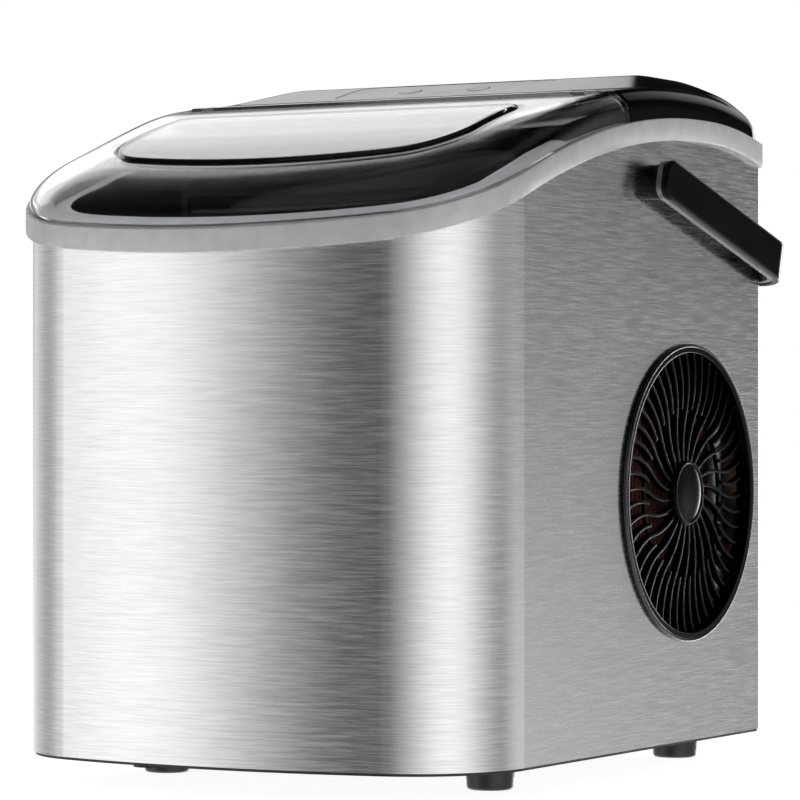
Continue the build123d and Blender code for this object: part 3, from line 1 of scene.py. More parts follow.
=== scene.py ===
import bpy
import json
import math
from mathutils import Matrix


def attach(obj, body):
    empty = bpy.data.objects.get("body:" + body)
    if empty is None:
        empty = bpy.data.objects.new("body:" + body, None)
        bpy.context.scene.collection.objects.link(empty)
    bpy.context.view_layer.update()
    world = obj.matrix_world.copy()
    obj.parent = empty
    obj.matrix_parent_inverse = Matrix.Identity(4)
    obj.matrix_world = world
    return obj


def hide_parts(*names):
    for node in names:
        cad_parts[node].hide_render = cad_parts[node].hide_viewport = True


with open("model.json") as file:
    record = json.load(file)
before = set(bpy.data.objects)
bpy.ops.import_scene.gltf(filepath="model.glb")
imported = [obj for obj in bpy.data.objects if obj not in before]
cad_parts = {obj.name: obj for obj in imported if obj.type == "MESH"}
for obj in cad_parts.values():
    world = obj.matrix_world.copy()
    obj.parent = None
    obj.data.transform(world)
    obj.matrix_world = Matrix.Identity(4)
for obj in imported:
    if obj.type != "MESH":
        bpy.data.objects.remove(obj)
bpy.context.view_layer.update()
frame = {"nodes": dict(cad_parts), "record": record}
scene = bpy.context.scene

# ------------------------------------------------------------------ camera, at the photograph's viewing angle
CAMERA_PLACE = (0.8308, -1.44325, 0.1533)
CAMERA_YAW = math.radians(29.744)
CAMERA_LIFT = 0.00264  # radians above level
CAMERA_REACH = 20
SENSOR_WIDTH = 36  # mm
IMAGE_WIDTH = 800  # pixels
FOCAL_LENGTH = 3905  # pixels

camera = bpy.data.objects.new("camera", bpy.data.cameras.new("camera"))
scene.collection.objects.link(camera)
camera.location = CAMERA_PLACE
camera.rotation_euler = (math.pi / 2 + CAMERA_LIFT, 0, CAMERA_YAW)
camera.data.sensor_width = SENSOR_WIDTH
camera.data.lens = SENSOR_WIDTH * FOCAL_LENGTH / IMAGE_WIDTH
camera.data.clip_end = CAMERA_REACH
scene.camera = camera
scene.view_settings.view_transform = "Standard"

# ------------------------------------------------------------------ node helpers
NOISE_SPAN = (0.35, 0.65)  # most noise values lie in here, so this span is stretched to a whole range
LEAST_ROUGH = 0.02
MIX_A, MIX_B, MIX_RESULT = 6, 7, 2  # colour sockets of a Mix node
BEVEL_SAMPLES = 6
GLOSS_GRAINS = 12  # size of the mottling of gloss, in grains of the surface's relief
TONE_GRAINS = 20  # size of the mottling of tone


class Nodes:
    """Adds to one node tree."""

    def __init__(self, tree):
        self.tree = tree

    def node(self, kind, **values):
        made = self.tree.nodes.new(kind)
        for key, value in values.items():
            setattr(made, key, value)
        return made

    def link(self, a, b):
        self.tree.links.new(a, b)

    def ranged(self, source, start, end, low=0.0, high=1.0, smooth=False):
        """Maps a value from start..end to low..high, and holds it there beyond the ends."""
        made = self.node("ShaderNodeMapRange", interpolation_type="SMOOTHSTEP" if smooth else "LINEAR")
        for key, value in (("From Min", start), ("From Max", end), ("To Min", low), ("To Max", high)):
            made.inputs[key].default_value = value
        self.link(source, made.inputs["Value"])
        return made.outputs["Result"]

    def calculate(self, operation, *values):
        """Math node on sockets and numbers."""
        made = self.node("ShaderNodeMath", operation=operation)
        for socket, value in zip(made.inputs, values):
            if isinstance(value, bpy.types.NodeSocket):
                self.link(value, socket)
            else:
                socket.default_value = value
        return made.outputs[0]

    def added(self, a, b):
        """Sum of two shaders."""
        made = self.node("ShaderNodeAddShader")
        self.link(a, made.inputs[0])
        self.link(b, made.inputs[1])
        return made.outputs[0]

    def chosen(self, share, a, b):
        """Shader b where share is 1, and a where it is 0."""
        made = self.node("ShaderNodeMixShader")
        for socket, value in zip(made.inputs, (share, a, b)):
            self.link(value, socket)
        return made.outputs[0]


class Shader(Nodes):
    """A node material around one Principled shader."""

    def __init__(self, name, color, rough, metal=0.0, **values):
        self.mat = bpy.data.materials.new(name)
        self.mat.use_nodes = True
        super().__init__(self.mat.node_tree)
        self.bsdf = self.tree.nodes["Principled BSDF"]
        self.bsdf.inputs["Base Color"].default_value = (*color, 1)
        self.bsdf.inputs["Roughness"].default_value = rough
        self.bsdf.inputs["Metallic"].default_value = metal
        for key, value in values.items():
            self.bsdf.inputs[key.replace("_", " ")].default_value = value
        self.color = color
        self.rough = rough

    def noise(self, scale, stretch=(1, 1, 1), detail=4.0):
        """Noise in the row frame, scale in cells per metre, stretched by a factor on each axis."""
        place = self.node("ShaderNodeTexCoord")
        mapping = self.node("ShaderNodeMapping")
        mapping.inputs["Scale"].default_value = [scale * s for s in stretch]
        noise = self.node("ShaderNodeTexNoise")
        noise.inputs["Scale"].default_value = 1.0
        noise.inputs["Detail"].default_value = detail
        self.link(place.outputs["Object"], mapping.inputs["Vector"])
        self.link(mapping.outputs["Vector"], noise.inputs["Vector"])
        return noise.outputs["Fac"]

    def mix_color(self, share, first, second):
        """Base colour between two colours."""
        mix = self.node("ShaderNodeMix", data_type="RGBA")
        mix.inputs[MIX_A].default_value = (*first, 1)
        mix.inputs[MIX_B].default_value = (*second, 1)
        self.link(share, mix.inputs[0])
        self.link(mix.outputs[MIX_RESULT], self.bsdf.inputs["Base Color"])

    def vary_rough(self, noise, amount):
        low = max(self.rough - amount, LEAST_ROUGH)
        self.link(self.ranged(noise, *NOISE_SPAN, low, self.rough + amount), self.bsdf.inputs["Roughness"])

    def vary_color(self, noise, amount):
        """Colour between a darker and a lighter share of the base colour."""
        darker, lighter = ([c * (1 + change) for c in self.color] for change in (-amount, amount))
        self.mix_color(self.ranged(noise, *NOISE_SPAN), darker, lighter)

    def bump(self, noise, height):
        bump = self.node("ShaderNodeBump")
        bump.inputs["Strength"].default_value = 1.0
        bump.inputs["Distance"].default_value = height
        self.link(noise, bump.inputs["Height"])
        self.link(bump.outputs["Normal"], self.bsdf.inputs["Normal"])

    def soften(self, radius):
        """Rounds the look of hard edges."""
        bevel = self.node("ShaderNodeBevel", samples=BEVEL_SAMPLES)
        bevel.inputs["Radius"].default_value = radius
        self.link(bevel.outputs["Normal"], self.bsdf.inputs["Normal"])


def plain(name, color, rough, metal=0.0, grain=700, spread=0.06, tint=0.05, relief=0.00003, soft=0, **values):
    """Moulded or coated surface: slight mottling of gloss and tone, fine surface relief."""
    shader = Shader(name, color, rough, metal, **values)
    shader.vary_rough(shader.noise(grain / GLOSS_GRAINS), spread)
    shader.vary_color(shader.noise(grain / TONE_GRAINS), tint)
    if relief:
        shader.bump(shader.noise(grain), relief)
    if soft:
        shader.soften(soft)
    return shader.mat


def glossy(name, color, rough, specular, spread=0.03, **values):
    """Smooth surface without relief."""
    return plain(name, color, rough, spread=spread, relief=0, Specular_IOR_Level=specular, **values)


# ------------------------------------------------------------------ materials
JET = (0.001, 0.001, 0.0011)
BLACK = (0.002, 0.002, 0.0022)
DARK_PLASTIC = (0.010, 0.010, 0.011)
SILVER = (0.80, 0.80, 0.81)
STREAK_CELLS = 60  # per metre along the brushing
STREAK_STRETCH = (1, 1, 42)
STREAK_DETAIL = 6
STREAK_RELIEF = 0.000008

steel = Shader("steel_brushed", (0.70, 0.70, 0.71), 0.24, 1.0, Anisotropic=0.4, Anisotropic_Rotation=0.25)
tangent = steel.node("ShaderNodeTangent", direction_type="RADIAL", axis="Z")
steel.link(tangent.outputs["Tangent"], steel.bsdf.inputs["Tangent"])
streaks = steel.noise(STREAK_CELLS, STREAK_STRETCH, STREAK_DETAIL)
steel.vary_rough(streaks, 0.06)
steel.vary_color(streaks, 0.12)
steel.bump(streaks, STREAK_RELIEF)

MATERIALS = {
    "brushed_steel": steel.mat,
    "satin_silver": plain("silver_satin", SILVER, 0.5, 0.25, grain=3000, relief=0.000004),
    "gloss_black": glossy("black_gloss", JET, 0.08, 0.06),
    "satin_black": glossy("black_satin", BLACK, 0.12, 0.06),
    "matte_black": plain("black_matte", (0.018, 0.018, 0.019), 0.5),
    "clear_lid": glossy(
        "lid_clear", (0.93, 0.94, 0.95), 0.03, 0.5, spread=0.015, tint=0.01, Transmission_Weight=1.0, IOR=1.46
    ),
    "button_grey": glossy("button_satin", (0.03, 0.03, 0.031), 0.2, 0.12, spread=0.06),
    "light_plastic": plain("plastic_inner", DARK_PLASTIC, 0.5, Specular_IOR_Level=0.15),
    "foam": plain("foam_cells", (0.78, 0.74, 0.62), 0.85, grain=1500, relief=0.0003),
    "sheet_steel": plain("steel_sheet", (0.45, 0.46, 0.47), 0.38, 0.9, grain=500),
    "compressor_black": plain("compressor_paint", (0.012, 0.012, 0.013), 0.3),
    "copper": plain("copper_tube", (0.55, 0.25, 0.14), 0.32, 1.0, tint=0.15),
    "fin_metal": plain("fin_red_brown", (0.16, 0.055, 0.045), 0.5, 0.2),
    "grey_line": plain("tube_grey", (0.5, 0.5, 0.51), 0.35, 0.6),
    "plated_metal": plain("metal_plated", (0.65, 0.65, 0.66), 0.18, 1.0, relief=0.000003),
    "rubber": plain("rubber_black", (0.012, 0.012, 0.012), 0.42, grain=2500, relief=0.00002),
    "board_green": plain("board_green", (0.02, 0.12, 0.05), 0.35),
    "white_plastic": plain("plastic_white", (0.75, 0.75, 0.73), 0.35),
    "hose": plain("hose_soft", (0.6, 0.62, 0.6), 0.3),
}
grille = glossy("black_grille", JET, 0.14, 0.08, soft=0.0008)
strap = glossy("black_strap", JET, 0.12, 0.08, soft=0.0018)
bead = glossy("black_bead", BLACK, 0.1, 0.45, spread=0.02)

# tub: dark hollow, and silver on what faces up at the height of its rim, which shows beside the ring's ledge
TUB_MOTTLE = 60  # cells per metre
TUB_RIM_FACING = (0.80, 0.86)  # upward share of the normal over which the silver sets in
TUB_RIM_HEIGHT = (0.195, 0.2)
rimmed = Shader("tub_rimmed", DARK_PLASTIC, 0.5, Specular_IOR_Level=0.2)
facing, place = rimmed.node("ShaderNodeSeparateXYZ"), rimmed.node("ShaderNodeSeparateXYZ")
rimmed.link(rimmed.node("ShaderNodeNewGeometry").outputs["Normal"], facing.inputs[0])
rimmed.link(rimmed.node("ShaderNodeTexCoord").outputs["Object"], place.inputs[0])
faces_up = rimmed.ranged(facing.outputs["Z"], *TUB_RIM_FACING)
at_rim = rimmed.ranged(place.outputs["Z"], *TUB_RIM_HEIGHT)
rimmed.mix_color(rimmed.calculate("MULTIPLY", faces_up, at_rim), DARK_PLASTIC, SILVER)
rimmed.vary_rough(rimmed.noise(TUB_MOTTLE), 0.06)

FINISHES = {  # nodes whose finish differs from the rest of their slot
    "side_grille_left": grille,
    "side_grille_right": grille,
    "handle_outer": strap,
    "handle_pivot_left": strap,
    "handle_pivot_right": strap,
    # handle's lining: lighter grey metal than the black strap, a painted sheen standing in for the reflection
    # along the strap's underside
    "handle_inner": glossy("lining_painted_sheen", (0.13, 0.13, 0.132), 0.2, 0.5, metal=0.8),
    "rear_cover": glossy("black_cover", (0.002, 0.002, 0.0021), 0.08, 0.07),
    "control_panel": glossy("black_panel", (0.007, 0.007, 0.0074), 0.14, 0.1),
    "ice_shovel": plain("plastic_shovel", (0.02, 0.02, 0.021), 0.45),
    "ice_basket": plain("plastic_basket", (0.05, 0.05, 0.052), 0.45),
    "water_tray": plain("plastic_tray", (0.06, 0.06, 0.062), 0.45),
    "tub": rimmed.mat,
    # evaporator: plated metal given a dark colour, painted shade for the dark inside of the machine
    "evaporator": plain("evaporator_painted_shade", (0.05, 0.05, 0.052), 0.4, 0.3, Specular_IOR_Level=0.2),
}
for part in frame["record"]["subparts"]:
    node = frame["nodes"][part["node"]]
    node.data.materials.clear()
    node.data.materials.append(FINISHES.get(part["node"], MATERIALS[part["material_slot"]]))

# ------------------------------------------------------------------ body plan and crown line, in metres
HALF_WIDTH = 0.112
FRONT_Y = -0.14395
REAR_Y = 0.13585
BOW_RADIUS = 0.3109
CORNER_RADIUS = 0.0497
CROWN = (  # (y, height) of the steel's top edge
    (-0.15235, 0.2136), (-0.12125, 0.2254), (-0.07925, 0.2416), (-0.01605, 0.2591),
    (0.05775, 0.2677), (0.10825, 0.2658), (0.14365, 0.2584),
)
RING_HEIGHT = 0.0094
HOOD_OUTSET = 0.0016  # of the lid and the cover past the steel's face
HOOD_BASE = RING_HEIGHT + 0.0002  # over the crown line, as the next
HOOD_TOP = RING_HEIGHT + 0.0133
HOOD_WALL = 0.0025
BOW_Y = FRONT_Y + BOW_RADIUS
CORNER_X = HALF_WIDTH - CORNER_RADIUS
CORNER_Y = BOW_Y - math.sqrt((BOW_RADIUS - CORNER_RADIUS) ** 2 - CORNER_X**2)
BOW_ANGLE = math.atan2(CORNER_X, BOW_Y - CORNER_Y)
SIDES = ((1, "right"), (-1, "left"))


def crown_slopes():
    """Slope of the crown line at each of its points, from its neighbours."""
    runs = [b[0] - a[0] for a, b in zip(CROWN, CROWN[1:])]
    grades = [(b[1] - a[1]) / run for a, b, run in zip(CROWN, CROWN[1:], runs)]
    inner = [
        (runs[i] * grades[i - 1] + runs[i - 1] * grades[i]) / (runs[i] + runs[i - 1])
        for i in range(1, len(runs))
    ]
    return [2 * grades[0] - inner[0], *inner, 2 * grades[-1] - inner[-1]]


SLOPES = crown_slopes()


def crown(y):
    """Height of the crown line at y, a cubic between each two of its points."""
    i = 0
    while i < len(CROWN) - 2 and y > CROWN[i + 1][0]:
        i += 1
    (y0, z0), (y1, z1) = CROWN[i], CROWN[i + 1]
    run = y1 - y0
    t = (y - y0) / run
    return (
        (2 * t**3 - 3 * t**2 + 1) * z0
        + (t**3 - 2 * t**2 + t) * run * SLOPES[i]
        + (3 * t**2 - 2 * t**3) * z1
        + (t**3 - t**2) * run * SLOPES[i + 1]
    )


def inside_steel(x, y):
    """How far a plan point lies inside the steel's face, at the front and sides."""
    x = abs(x)
    if y >= CORNER_Y:
        return HALF_WIDTH - x
    past_corner = (x - CORNER_X) * (BOW_Y - CORNER_Y) > (CORNER_Y - y) * CORNER_X
    if past_corner:
        return CORNER_RADIUS - math.hypot(x - CORNER_X, y - CORNER_Y)
    return BOW_RADIUS - math.hypot(x, BOW_Y - y)


# ------------------------------------------------------------------ mesh helpers
RAY_LENGTH = 0.3
RAY_HALVINGS = 40
MIDDLE_SHARE = 0.05  # size of a hood's innermost inner loop, as a share of its edge


def smooth_step(value, low, high):
    t = min(max((value - low) / (high - low), 0), 1)
    return t * t * (3 - 2 * t)


def rounded_depth(a, b, radius):
    """Depth inside two edges that meet in a rounded corner."""
    if a < radius and b < radius:
        return radius - math.hypot(radius - a, radius - b)
    return min(a, b)


def round_drop(depth, reach):
    """How far a quarter round falls, as a share of its height, at a depth inside its edge."""
    turn = max(1 - max(depth, 0) / reach, 0)
    return 1 - math.sqrt(max(1 - turn**2, 0))


def circle(count):
    """Evenly spread angles of a full turn."""
    return [2 * math.pi * i / count for i in range(count)]


def ray_end(depth, level, angle, middle_y):
    """Point where a ray from (0, middle_y) comes to a level of depth."""
    low, high = 0.0, RAY_LENGTH
    for _ in range(RAY_HALVINGS):
        middle = (low + high) / 2
        x, y = middle * math.cos(angle), middle_y + middle * math.sin(angle)
        if depth(x, y) > level:
            low = middle
        else:
            high = middle
    return x, y


def drawn_in(loop, share, middle_y):
    """The loop shrunk towards (0, middle_y)."""
    return [(share * x, middle_y + share * (y - middle_y)) for x, y in loop]


def loops_between(start, edge, count, crowding):
    """Plan loops from after start out to edge, closer together towards the edge."""
    pairs = list(zip(start, edge))
    loops = []
    for i in range(1, count + 1):
        share = 1 - (1 - i / count) ** crowding
        loops.append([(a[0] + share * (b[0] - a[0]), a[1] + share * (b[1] - a[1])) for a, b in pairs])
    return loops


def loop_quads(loops, count, closed=False):
    """Faces between neighbouring loops of count corners, and from the last to the first if closed."""
    quads = []
    for k in range(loops if closed else loops - 1):
        m = (k + 1) % loops
        for i in range(count):
            j = (i + 1) % count
            quads.append((k * count + i, k * count + j, m * count + j, m * count + i))
    return quads


def ring_shell(outer, inner):
    """Closed shell between two stacks of loops that run from the middle out."""
    rings = outer + inner[::-1]
    count = len(rings[0])
    corners = [point for ring in rings for point in ring]
    faces = [(a, d, c, b) for a, b, c, d in loop_quads(len(rings), count)]
    faces.append(tuple(range(count)))
    faces.append(tuple(reversed(range((len(rings) - 1) * count, len(rings) * count))))
    return corners, faces


def finish_mesh(name, mesh_data, material, body, slot, *nodes, sharp=35):
    """Makes a piece in place of the named CAD nodes, smooth except where it bends by over sharp degrees."""
    corners, faces = mesh_data
    mesh = bpy.data.meshes.new(name)
    mesh.from_pydata(corners, [], faces)
    mesh.validate()
    mesh.polygons.foreach_set("use_smooth", [True] * len(mesh.polygons))
    mesh.set_sharp_from_angle(angle=math.radians(sharp))
    mesh.materials.append(material)
    made = bpy.data.objects.new(name, mesh)
    scene.collection.objects.link(made)
    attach(made, body)
    if nodes:
        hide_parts(*nodes)


# ------------------------------------------------------------------ lid, with a broad front shoulder
LID_CENTRE_Y = -0.072
LID_REAR_Y = 0.00345
LID_RAYS = 288
LID_LOOPS = 26
LID_CROWDING = 2
LID_SHARP = 40
SHOULDER_WIDE = 0.034  # at the front
SHOULDER_NARROW = 0.011  # at the sides
SHOULDER_HEIGHT = 0.011  # at the sides
SHOULDER_EXTRA = 0.0016  # more height at the front
SHOULDER_CHANGE = (-0.085, -0.005)  # y where it turns from wide to narrow
WINDOW_HALF = 0.083
WINDOW_SETBACK = 0.036  # from the hood's front
WINDOW_FRONT_RADIUS = BOW_RADIUS + HOOD_OUTSET - WINDOW_SETBACK
WINDOW_REAR_Y = -0.03235
WINDOW_CORNER = 0.022
WINDOW_REAR_CORNER = 0.007
WINDOW_RISE = 0.0011
WINDOW_SHARES = (0.08, 0.3, 0.55, 0.8)  # sizes of the loops in the window's middle
# section over the window's edge and the groove round it, as (depth inside the edge, height over the hood)
WINDOW_SECTION = (
    (0.02, WINDOW_RISE), (0.012, WINDOW_RISE), (0.006, WINDOW_RISE), (0.003, WINDOW_RISE),
    (0.0018, WINDOW_RISE - 0.00006), (0.0010, WINDOW_RISE - 0.00025), (0.0004, WINDOW_RISE - 0.0006),
    (0.0, -0.0001), (-0.0001, -0.0003), (-0.0003, -0.0003), (-0.0004, -0.0001), (-0.0007, 0.0),
)


def window_depth(x, y):
    side = WINDOW_HALF - abs(x)
    front = WINDOW_FRONT_RADIUS - math.hypot(x, BOW_Y - y)
    rear = WINDOW_REAR_Y - y
    return min(rounded_depth(side, front, WINDOW_CORNER), rounded_depth(side, rear, WINDOW_REAR_CORNER))


def shoulder_drop(x, y, inset):
    """How far the lid's surface falls below the crown form, towards the front and the sides."""
    front = 1 - smooth_step(y, *SHOULDER_CHANGE)
    reach = SHOULDER_NARROW + (SHOULDER_WIDE - SHOULDER_NARROW) * front - inset
    height = SHOULDER_HEIGHT + SHOULDER_EXTRA * front - inset
    return height * round_drop(inside_steel(x, y) + HOOD_OUTSET - inset, reach)


def lid_rings(inset, with_window):
    """Loops of the lid's outer or inner surface, from its middle out to its lower edge."""
    top = HOOD_TOP - inset

    def edge_depth(x, y):
        return min(inside_steel(x, y) + HOOD_OUTSET - inset, LID_REAR_Y - inset - y)

    def raised(loop, lift=0.0):
        return [(x, y, crown(y) + top + lift - shoulder_drop(x, y, inset)) for x, y in loop]

    def window_loop(level):
        return [ray_end(window_depth, level, angle, LID_CENTRE_Y) for angle in angles]

    corner = math.atan2(LID_REAR_Y - inset - LID_CENTRE_Y, HALF_WIDTH + HOOD_OUTSET - inset)
    angles = sorted([corner, math.pi - corner] + circle(LID_RAYS))
    edge = [ray_end(edge_depth, 0, angle, LID_CENTRE_Y) for angle in angles]
    if with_window:
        first = window_loop(WINDOW_SECTION[0][0])
        rings = [raised(drawn_in(first, share, LID_CENTRE_Y), WINDOW_RISE) for share in WINDOW_SHARES]
        rings += [raised(window_loop(level), lift) for level, lift in WINDOW_SECTION]
        start = [(x, y) for x, y, _ in rings[-1]]
    else:
        start = drawn_in(edge, MIDDLE_SHARE, LID_CENTRE_Y)
        rings = [raised(start)]
    rings += [raised(loop) for loop in loops_between(start, edge, LID_LOOPS, LID_CROWDING)]
    rings.append([(x, y, crown(y) + HOOD_BASE) for x, y in edge])
    return rings


lid_shell = ring_shell(lid_rings(0.0, True), lid_rings(HOOD_WALL, False))
finish_mesh("lid_shell", lid_shell, MATERIALS["clear_lid"], "lid", "clear_lid", "lid", sharp=LID_SHARP)

# ------------------------------------------------------------------ rear cover, its console's slopes rounded
COVER_FRONT_Y = 0.0045
COVER_REAR_OUTSET = 0.4 * HOOD_OUTSET
COVER_REAR_Y = REAR_Y + COVER_REAR_OUTSET
COVER_REAR_CORNER = 0.013
COVER_ROUND = 0.011
COVER_RAYS = 360
COVER_LOOPS = 44
COVER_CROWDING = 1.6
CONSOLE_FRONT_Y = 0.03195
CONSOLE_RIDGE_Y = 0.06765
CONSOLE_BACK_Y = 0.10365
CONSOLE_TOE_Y = 0.12765
CONSOLE_RISE = 0.00738  # over the hood at the ridge
CONSOLE_TOE_SINK = 0.001  # under the hood at the toe
CONSOLE_HALF = 0.091
CONSOLE_FLANK = math.tan(math.radians(29))
CONSOLE_FOOT_Z = crown(CONSOLE_FRONT_Y) + HOOD_TOP
CONSOLE_TOP_Z = crown(CONSOLE_RIDGE_Y) + HOOD_TOP + CONSOLE_RISE
CONSOLE_TOE_Z = crown(CONSOLE_TOE_Y) + HOOD_TOP - CONSOLE_TOE_SINK
CONSOLE_FACE = (CONSOLE_TOP_Z - CONSOLE_FOOT_Z) / (CONSOLE_RIDGE_Y - CONSOLE_FRONT_Y)
CONSOLE_FALL = (CONSOLE_TOE_Z - CONSOLE_TOP_Z) / (CONSOLE_TOE_Y - CONSOLE_BACK_Y)
RIDGE_BLEND = 0.0012  # height over which two slopes are rounded into each other, as the next three
BACK_BLEND = 0.004
FLANK_BLEND = 0.005
FOOT_BLEND = 0.0008
PANEL_Y = 0.04995
PANEL_HALF = (0.0502, 0.0147 * math.cos(math.atan(CONSOLE_FACE)))
PANEL_CORNER = 0.0072
PANEL_RECESS = 0.00095


def blend_low(a, b, width):
    """Lower of two heights, rounded off where they meet."""
    near = max(width - abs(a - b), 0) / width
    return min(a, b) - near * near * width / 4


def cover_height(x, y):
    """Height of the cover's surface before its edges are rounded."""
    face = CONSOLE_FOOT_Z + (y - CONSOLE_FRONT_Y) * CONSOLE_FACE
    back = CONSOLE_TOP_Z + (y - CONSOLE_BACK_Y) * CONSOLE_FALL
    flank = CONSOLE_TOP_Z - (abs(x) - CONSOLE_HALF) * CONSOLE_FLANK
    console = blend_low(blend_low(face, CONSOLE_TOP_Z, RIDGE_BLEND), back, BACK_BLEND)
    console = blend_low(console, flank, FLANK_BLEND)
    return -blend_low(-crown(y) - HOOD_TOP, -console, FOOT_BLEND)


def cover_rings(inset, with_panel):
    """Loops of the cover's outer or inner surface, from the panel out to its lower edge."""
    half = HALF_WIDTH + HOOD_OUTSET - inset
    front = COVER_FRONT_Y + inset
    rear = COVER_REAR_Y - inset
    reach = COVER_ROUND - inset

    def side_depth(x, y):
        return rounded_depth(half - abs(x), rear - y, COVER_REAR_CORNER - inset)

    def edge_depth(x, y):
        return min(side_depth(x, y), y - front)

    def panel_depth(x, y):
        return rounded_depth(PANEL_HALF[0] - abs(x), PANEL_HALF[1] - abs(y - PANEL_Y), PANEL_CORNER)

    def surface(x, y):
        return cover_height(x, y) - inset - reach * round_drop(side_depth(x, y), reach)

    corner = math.atan2(front - PANEL_Y, half)
    angles = sorted([corner, -math.pi - corner] + [angle - math.pi for angle in circle(COVER_RAYS)])
    edge = [ray_end(edge_depth, 0, angle, PANEL_Y) for angle in angles]
    rings = []
    if with_panel:
        start = [ray_end(panel_depth, 0, angle, PANEL_Y) for angle in angles]
        rings.append([(x, y, surface(x, y) - PANEL_RECESS) for x, y in start])
    else:
        start = drawn_in(edge, MIDDLE_SHARE, PANEL_Y)
    for loop in [start] + loops_between(start, edge, COVER_LOOPS, COVER_CROWDING):
        rings.append([(x, y, surface(x, y)) for x, y in loop])
    rings.append([(x, y, crown(y) + HOOD_BASE) for x, y in edge])
    return rings


cover_shell = ring_shell(cover_rings(0.0, True), cover_rings(HOOD_WALL, False))
finish_mesh("cover_shell", cover_shell, FINISHES["rear_cover"], "housing", "gloss_black", "rear_cover")

# ------------------------------------------------------------------ hinge: bead on the lid, lugs on the cover
HINGE_PLACE = (0.00165, 0.2834762)  # y and z of its axis
HINGE_GAP = 0.0003
HINGE_COUNT = 24
BEAD_ROLL = 0.00255
BEAD_HALF = 0.099
LUG_ROLL = 0.0018
LUG_X = 0.091
LUG_HALF = 0.003
LUG_ROOM = LUG_X - LUG_HALF - HINGE_GAP, LUG_X + LUG_HALF + HINGE_GAP


def rod(low, high, radius):
    """Closed cylinder along X on the hinge's axis."""
    middle_y, middle_z = HINGE_PLACE
    loop = [(middle_y + radius * math.cos(t), middle_z + radius * math.sin(t)) for t in circle(HINGE_COUNT)]
    return ring_shell([[(low, y, z) for y, z in loop]], [[(high, y, z) for y, z in loop]])


bead_middle = rod(-LUG_ROOM[0], LUG_ROOM[0], BEAD_ROLL)
finish_mesh("lid_bead_middle", bead_middle, MATERIALS["clear_lid"], "lid", "clear_lid")
for side, side_name in SIDES:
    bead_end = rod(*sorted((side * LUG_ROOM[1], side * BEAD_HALF)), BEAD_ROLL)
    finish_mesh("lid_bead_" + side_name, bead_end, MATERIALS["clear_lid"], "lid", "clear_lid")
    lug = rod(side * LUG_X - LUG_HALF, side * LUG_X + LUG_HALF, LUG_ROLL)
    finish_mesh("cover_lug_" + side_name, lug, FINISHES["rear_cover"], "housing", "gloss_black")

# ------------------------------------------------------------------ trim ring, rounded at its rear corners
RING_PROUD = 0.003
RING_LEDGE = 0.009
RING_THICKNESS = 0.003
RING_UNDER = RING_HEIGHT - RING_THICKNESS
RING_EDGE = 0.0005
RING_EDGE_MIDDLE = 0.3 * RING_EDGE
RING_FOOT_EDGE = 0.0003
RING_CLEAR = 0.0002  # of its skirt from the steel's face
RING_SHARP = 50
REAR_PROUD = 0.0012
REAR_ROUND = 0.006
REAR_LEAST_ROUND = 0.0005
BOW_STEPS, CORNER_STEPS, SIDE_STEPS, REAR_ROUND_STEPS, REAR_STEPS = 24, 32, 36, 10, 12
# section, as (distance outside the steel's face, height over the crown line)
RING_SECTION = (
    (RING_PROUD - RING_FOOT_EDGE, 0.0),
    (RING_PROUD, RING_FOOT_EDGE),
    (RING_PROUD, RING_HEIGHT - RING_EDGE),
    (RING_PROUD - RING_EDGE_MIDDLE, RING_HEIGHT - RING_EDGE_MIDDLE),
    (RING_PROUD - RING_EDGE, RING_HEIGHT),
    (RING_EDGE - RING_LEDGE, RING_HEIGHT),
    (-RING_LEDGE, RING_HEIGHT - RING_EDGE),
    (-RING_LEDGE, RING_UNDER),
    (RING_CLEAR, RING_UNDER),
    (RING_CLEAR, 0.0),
)


def arc(centre, radius, start, end, count):
    """Points of an arc in plan, without its last one."""
    turns = [start + (end - start) * i / count for i in range(count)]
    return [(centre[0] + radius * math.cos(t), centre[1] + radius * math.sin(t)) for t in turns]


def ring_outline(outset):
    """Closed loop of the ring's plan, the steel's face moved outwards by outset."""
    side = HALF_WIDTH + outset
    rear = REAR_Y + REAR_PROUD - RING_PROUD + outset
    rear_round = max(REAR_ROUND + outset - RING_PROUD, REAR_LEAST_ROUND)
    side_end = rear - rear_round
    rear_end = side - rear_round
    quarter = math.pi / 2
    turn = BOW_ANGLE - quarter
    right = arc((0, BOW_Y), BOW_RADIUS + outset, -quarter, turn, BOW_STEPS)
    right += arc((CORNER_X, CORNER_Y), CORNER_RADIUS + outset, turn, 0, CORNER_STEPS)
    right += [(side, CORNER_Y + (side_end - CORNER_Y) * i / SIDE_STEPS) for i in range(SIDE_STEPS)]
    right += arc((rear_end, side_end), rear_round, 0, quarter, REAR_ROUND_STEPS)
    right += [(rear_end * (1 - i / REAR_STEPS), rear) for i in range(REAR_STEPS + 1)]
    return right + [(-x, y) for x, y in right[-2:0:-1]]


def ring_mesh():
    loops = [[(x, y, crown(y) + height) for x, y in ring_outline(outset)] for outset, height in RING_SECTION]
    return [point for loop in loops for point in loop], loop_quads(len(loops), len(loops[0]), closed=True)


ring_finish = MATERIALS["satin_silver"]
finish_mesh("ring_satin", ring_mesh(), ring_finish, "housing", "satin_silver", "trim_ring", sharp=RING_SHARP)

